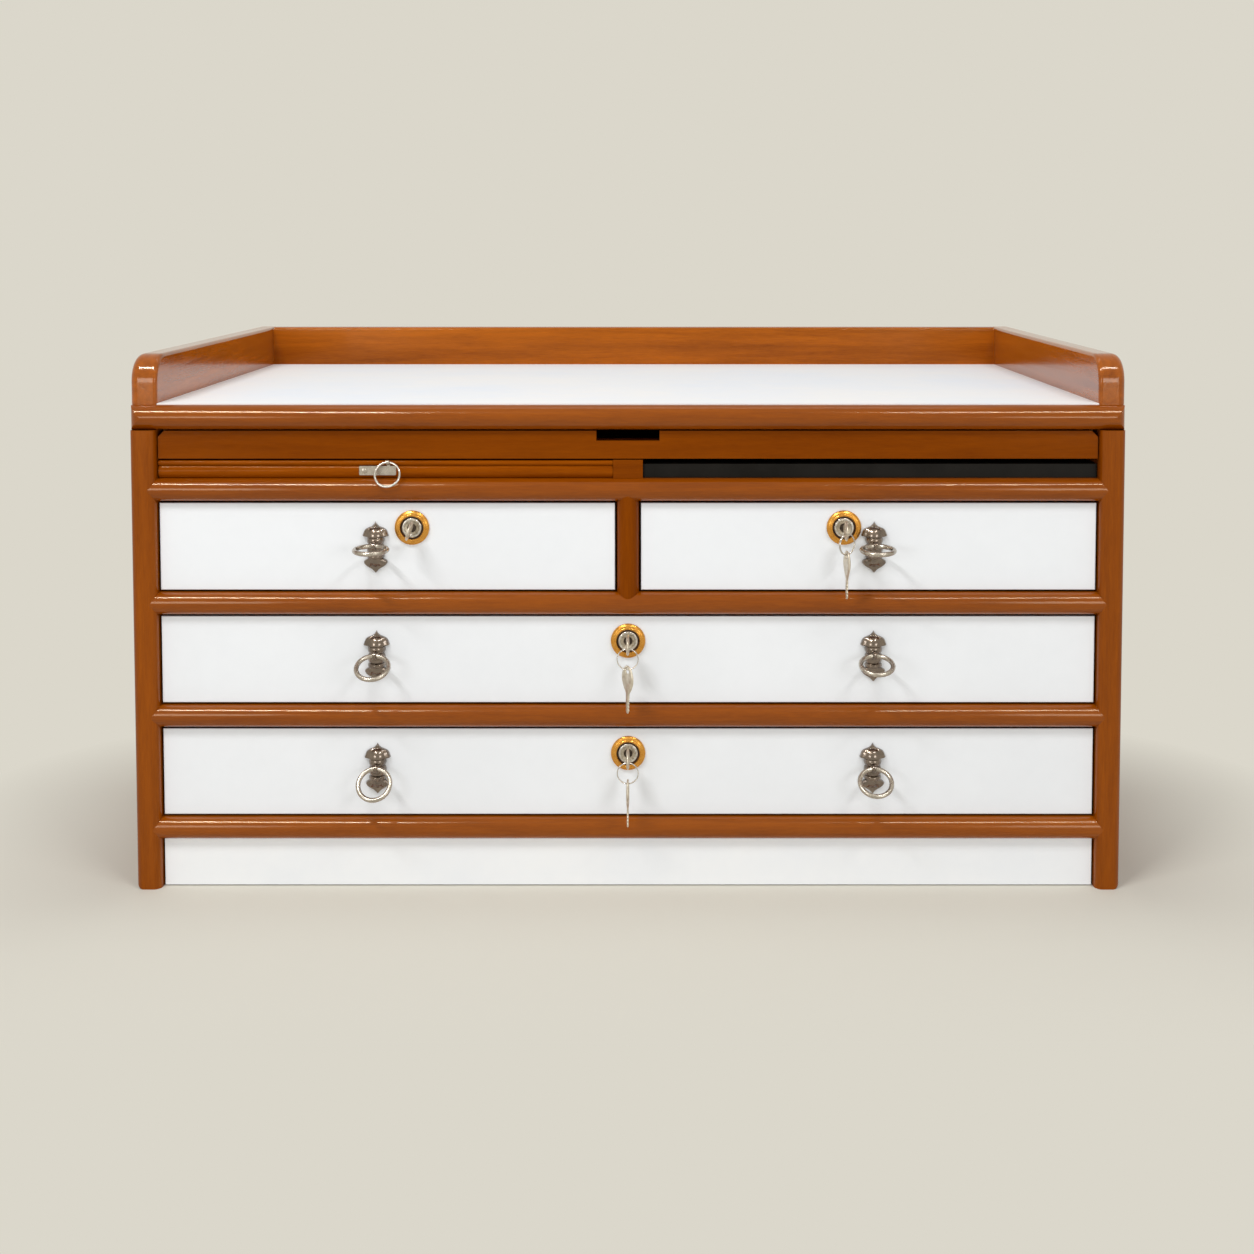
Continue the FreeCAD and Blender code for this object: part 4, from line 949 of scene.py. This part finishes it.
class DRAWERUNIT_OT_rings(bpy.types.Operator):
    """Build the pull rings and the writing board's ring"""

    bl_idname = "drawer_unit.rings"
    bl_label = "Rings"

    def execute(self, context):
        for node in [pull + "_ring" for pulls in PULLS.values() for pull in pulls] + ["board_pull_ring"]:
            joint = node.replace("board_pull", "board") + "_swing"
            eye = np.array(JOINTS[joint]["pos_m"])
            low, high = (np.array(corner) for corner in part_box(node))
            centre = (low + high) / 2
            radius = np.linalg.norm(centre - eye)
            wire = (high[0] - low[0]) / 2 - radius
            ring = ring_tube(centre, radius, wire, np.array([1.0, 0, 0]), (centre - eye) / radius)
            metal = finish("plug_nickel" if node == "board_pull_ring" else "ring_nickel")
            piece(node + "_wire", [(ring, True, 0)], BODY_OF[node], node, [metal])
        return {"FINISHED"}


class DRAWERUNIT_OT_locks(bpy.types.Operator):
    """Build the brass lock bodies and the nickel plugs with their cams"""

    bl_idname = "drawer_unit.locks"
    bl_label = "Locks"

    def execute(self, context):
        sizes = context.scene.drawer_unit_locks
        for drawer in DRAWERS:
            joint = JOINTS[drawer.replace("drawer", "lock_turn")]
            centre = np.array(joint["pos_m"])
            angle = -math.radians(joint["range_deg"][0])
            body, plug = drawer + "_lock_body", drawer + "_lock_plug"
            # The second finish of the case and of the core is painted shade in the recess and round the key.
            piece(drawer + "_lock_case", lock_shells(sizes, centre), BODY_OF[body], body,
                  [finish("brass"), finish("hollow")])
            piece(drawer + "_lock_core", plug_shells(sizes, centre, angle), BODY_OF[plug], plug,
                  [finish("plug_nickel"), finish("hollow")])
        return {"FINISHED"}


class DRAWERUNIT_OT_keys(bpy.types.Operator):
    """Build the keys in the locks, and the spare keys on their split rings"""

    bl_idname = "drawer_unit.keys"
    bl_label = "Keys"

    def execute(self, context):
        sizes = context.scene.drawer_unit_locks
        up = np.array([0.0, 0.0, 1.0])
        turns = {"small_right_drawer": (sizes.ring_turn, sizes.spare_turn_right),
                 "middle_drawer": (0, sizes.spare_turn_middle), "bottom_drawer": (0, 0)}
        for drawer in DRAWERS:
            joint = JOINTS[drawer.replace("drawer", "lock_turn")]
            spin = turned_about((0, 1, 0), -math.radians(joint["range_deg"][0]))
            hole = np.array(joint["pos_m"]) - (0, sizes.plug_face + sizes.hole_out, 0)
            key = drawer + "_key"
            piece(key + "_cut", key_shells(sizes, hole, (0, 1, 0), spin @ up), BODY_OF[key], key,
                  [finish("satin_key")])
            if drawer not in turns:
                continue
            ring_turn, spare_turn = turns[drawer]
            drop = sizes.hang + sizes.split
            first = turned_about(up, ring_turn) @ (1, 0, 0)
            ring = coil_tube(hole - drop * up, sizes.split, sizes.split_wire, first, up)
            across = turned_about(up, spare_turn) @ (0, 1, 0)
            shells = key_shells(sizes, hole - 2 * drop * up, -up, across) + [(ring, False, 1)]
            spare = drawer + "_spare_key"
            piece(spare + "_bunch", shells, BODY_OF[spare], spare,
                  [finish("satin_key"), finish("plug_nickel")])
        return {"FINISHED"}


class DRAWERUNIT_OT_strip(bpy.types.Operator):
    """Build the strip plate with its eye and screw on the writing board"""

    bl_idname = "drawer_unit.strip"
    bl_label = "Board pull"

    def execute(self, context):
        sizes = context.scene.drawer_unit_strip
        eye = np.array(JOINTS["board_ring_swing"]["pos_m"])
        face = eye + (0, sizes.eye_out, 0)
        axes = np.array([(1.0, 0, 0), (0, 0, 1.0), (0, -1.0, 0)])
        bevel, thick = STRIP_BEVEL, sizes.thick
        left, high, low = sizes.lead - sizes.strip, -sizes.lift, -sizes.lift - sizes.height
        stations = [(0, 1), (0, 0), (thick - bevel, 0), (thick, bevel), (thick, 1)]
        outline = rounded_box(left, sizes.lead, low, high, STRIP_CORNER)
        seat = face + (0, sizes.seat, 0)
        shells = [(plate_tube(outline, stations, seat, *axes), False, 0)]
        stand = thick - sizes.seat - bevel / 5
        for bottom, top, deep in ((high - bevel, 0, stand), (-sizes.eye_rim, -sizes.eye_bore, sizes.eye_out)):
            outline = rounded_box(-sizes.eye_half, sizes.eye_half, bottom, top, TONGUE_CORNER)
            stations = [(0, 1), (0, 0), (deep, 0), (deep, 1)]
            shells.append((plate_tube(outline, stations, face, *axes), False, 0))
        shells.append(eye_ring(sizes, eye, STRIP_ROUND, 32))
        screw = softened([(0, 0), (sizes.screw, 0), (sizes.screw, 0.5 * thick),
                          (0.5 * sizes.screw, 0.75 * thick), (0, 0.78 * thick)], STRIP_ROUND)
        place = seat + np.array([left + 2 * sizes.screw, -thick, (low + high) / 2])
        shells.append((lathe(screw, place, axes[2], 24), False, 0))
        piece("board_pull_strip", shells, "writing_board", "board_pull_plate", [finish("ring_nickel")])
        return {"FINISHED"}


def seen_by_eye(tree):
    """One for rays from the camera, from mirrors and through glass, and zero for light that only fills."""
    path = add(tree, "ShaderNodeLightPath")
    glossy = math_node(tree, "MAXIMUM", path.outputs["Is Glossy Ray"], path.outputs["Is Transmission Ray"])
    return math_node(tree, "MAXIMUM", path.outputs["Is Camera Ray"], glossy)


def blended(tree, first, second, factor, result):
    """Two shaders mixed by a factor socket, led to a result socket."""
    blend = add(tree, "ShaderNodeMixShader")
    for value, socket in zip((factor, first.outputs[0], second.outputs[0]), blend.inputs):
        tree.links.new(value, socket)
    tree.links.new(blend.outputs[0], result)


def floor_finish(stage):
    """Matt floor that keeps the shadows round the unit's front and runs out into the plain ground colour."""
    material = bpy.data.materials.new("pale_floor")
    material.use_nodes = True
    tree = material.node_tree
    tree.nodes.remove(tree.nodes["Principled BSDF"])
    matt = add(tree, "ShaderNodeBsdfDiffuse", Color=(*stage.floor, 1))
    plain = add(tree, "ShaderNodeEmission", Color=(*stage.ground, 1))
    place = add(tree, "ShaderNodeSeparateXYZ", Vector=object_place(tree))
    offsets = []
    for axis, (middle, half) in FLOOR_PATCH.items():
        past = math_node(tree, "ABSOLUTE", math_node(tree, "SUBTRACT", place.outputs[axis], middle), 0)
        offsets.append(math_node(tree, "MAXIMUM", math_node(tree, "SUBTRACT", past, half), 0))
    squares = [math_node(tree, "MULTIPLY", offset, offset) for offset in offsets]
    distance = math_node(tree, "SQRT", math_node(tree, "ADD", *squares), 0)
    far = spread(tree, distance, *FLOOR_FADE, 0, 1)
    factor = math_node(tree, "MULTIPLY", far, seen_by_eye(tree))
    blended(tree, matt, plain, factor, tree.nodes["Material Output"].inputs["Surface"])
    return material


def lamp(name, place, aim, power, wide, high):
    """Soft rectangular lamp that faces a point."""
    light = bpy.data.lights.new(name, "AREA")
    light.shape = "RECTANGLE"
    light.energy = power
    light.size, light.size_y = wide, high
    made = bpy.data.objects.new(name, light)
    made.location = place
    made.rotation_euler = (Vector(aim) - Vector(place)).to_track_quat("-Z", "Y").to_euler()
    bpy.context.scene.collection.objects.link(made)


class DRAWERUNIT_OT_stage(bpy.types.Operator):
    """Set up the floor, the light and the camera"""

    bl_idname = "drawer_unit.stage"
    bl_label = "Stage"

    def execute(self, context):
        scene, stage = context.scene, context.scene.drawer_unit_stage
        spread_out = np.linspace(-FLOOR_HALF, FLOOR_HALF, 3)
        x, y = np.meshgrid(spread_out, spread_out)
        points = np.stack([x, y, np.zeros_like(x)], axis=2).reshape(-1, 3)
        mesh = bpy.data.meshes.new("floor")
        mesh.from_pydata(points, [], strip_of(3, 3, wrap_columns=False))
        mesh.materials.append(floor_finish(stage))
        floor = bpy.data.objects.new("floor", mesh)
        scene.collection.objects.link(floor)
        scene.world = bpy.data.worlds.new("studio")
        scene.world.use_nodes = True
        tree = scene.world.node_tree
        tree.nodes.clear()
        even = add(tree, "ShaderNodeBackground", Color=(1, 1, 1, 1), Strength=stage.world)
        plain = add(tree, "ShaderNodeBackground", Color=(*stage.ground, 1), Strength=1)
        blended(tree, even, plain, seen_by_eye(tree), add(tree, "ShaderNodeOutputWorld").inputs["Surface"])
        for name, (place, aim, wide, high) in LAMPS.items():
            lamp(name + "_lamp", place, aim, getattr(stage, name), wide, high)
        camera = bpy.data.cameras.new("camera")
        camera.sensor_width = 36
        camera.lens = stage.lens
        camera.shift_x, camera.shift_y = stage.shift_x, stage.shift_y
        seat = bpy.data.objects.new("camera", camera)
        seat.location = (stage.camera_x, stage.camera_y, stage.camera_z)
        seat.rotation_euler = (math.pi / 2 - stage.pitch, 0, 0)
        scene.collection.objects.link(seat)
        scene.camera = seat
        scene.view_settings.view_transform = "Standard"
        return {"FINISHED"}


OPERATORS = [
    DRAWERUNIT_OT_carcass,
    DRAWERUNIT_OT_white_faces,
    DRAWERUNIT_OT_plain_boards,
    DRAWERUNIT_OT_slides,
    DRAWERUNIT_OT_pulls,
    DRAWERUNIT_OT_rings,
    DRAWERUNIT_OT_locks,
    DRAWERUNIT_OT_keys,
    DRAWERUNIT_OT_strip,
    DRAWERUNIT_OT_stage,
]


class DRAWERUNIT_PT_panel(bpy.types.Panel):
    """Steps that dress the drawer unit"""

    bl_idname = "DRAWERUNIT_PT_panel"
    bl_label = "Drawer unit"
    bl_space_type = "VIEW_3D"
    bl_region_type = "UI"
    bl_category = "Drawer unit"

    def draw(self, context):
        for operator in OPERATORS:
            self.layout.operator(operator.bl_idname)


def register():
    """Register the classes and hang the settings on the scene."""
    for cls in [*SETTINGS.values(), *OPERATORS, DRAWERUNIT_PT_panel]:
        bpy.utils.register_class(cls)
    for name, cls in SETTINGS.items():
        setattr(bpy.types.Scene, name, PointerProperty(type=cls))


def unregister():
    """Take the settings and the classes away again."""
    for name in SETTINGS:
        delattr(bpy.types.Scene, name)
    for cls in reversed([*SETTINGS.values(), *OPERATORS, DRAWERUNIT_PT_panel]):
        bpy.utils.unregister_class(cls)


def main():
    """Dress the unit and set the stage."""
    register()
    for operator in OPERATORS:
        group, name = operator.bl_idname.split(".")
        getattr(getattr(bpy.ops, group), name)()


if __name__ == "__main__":
    main()
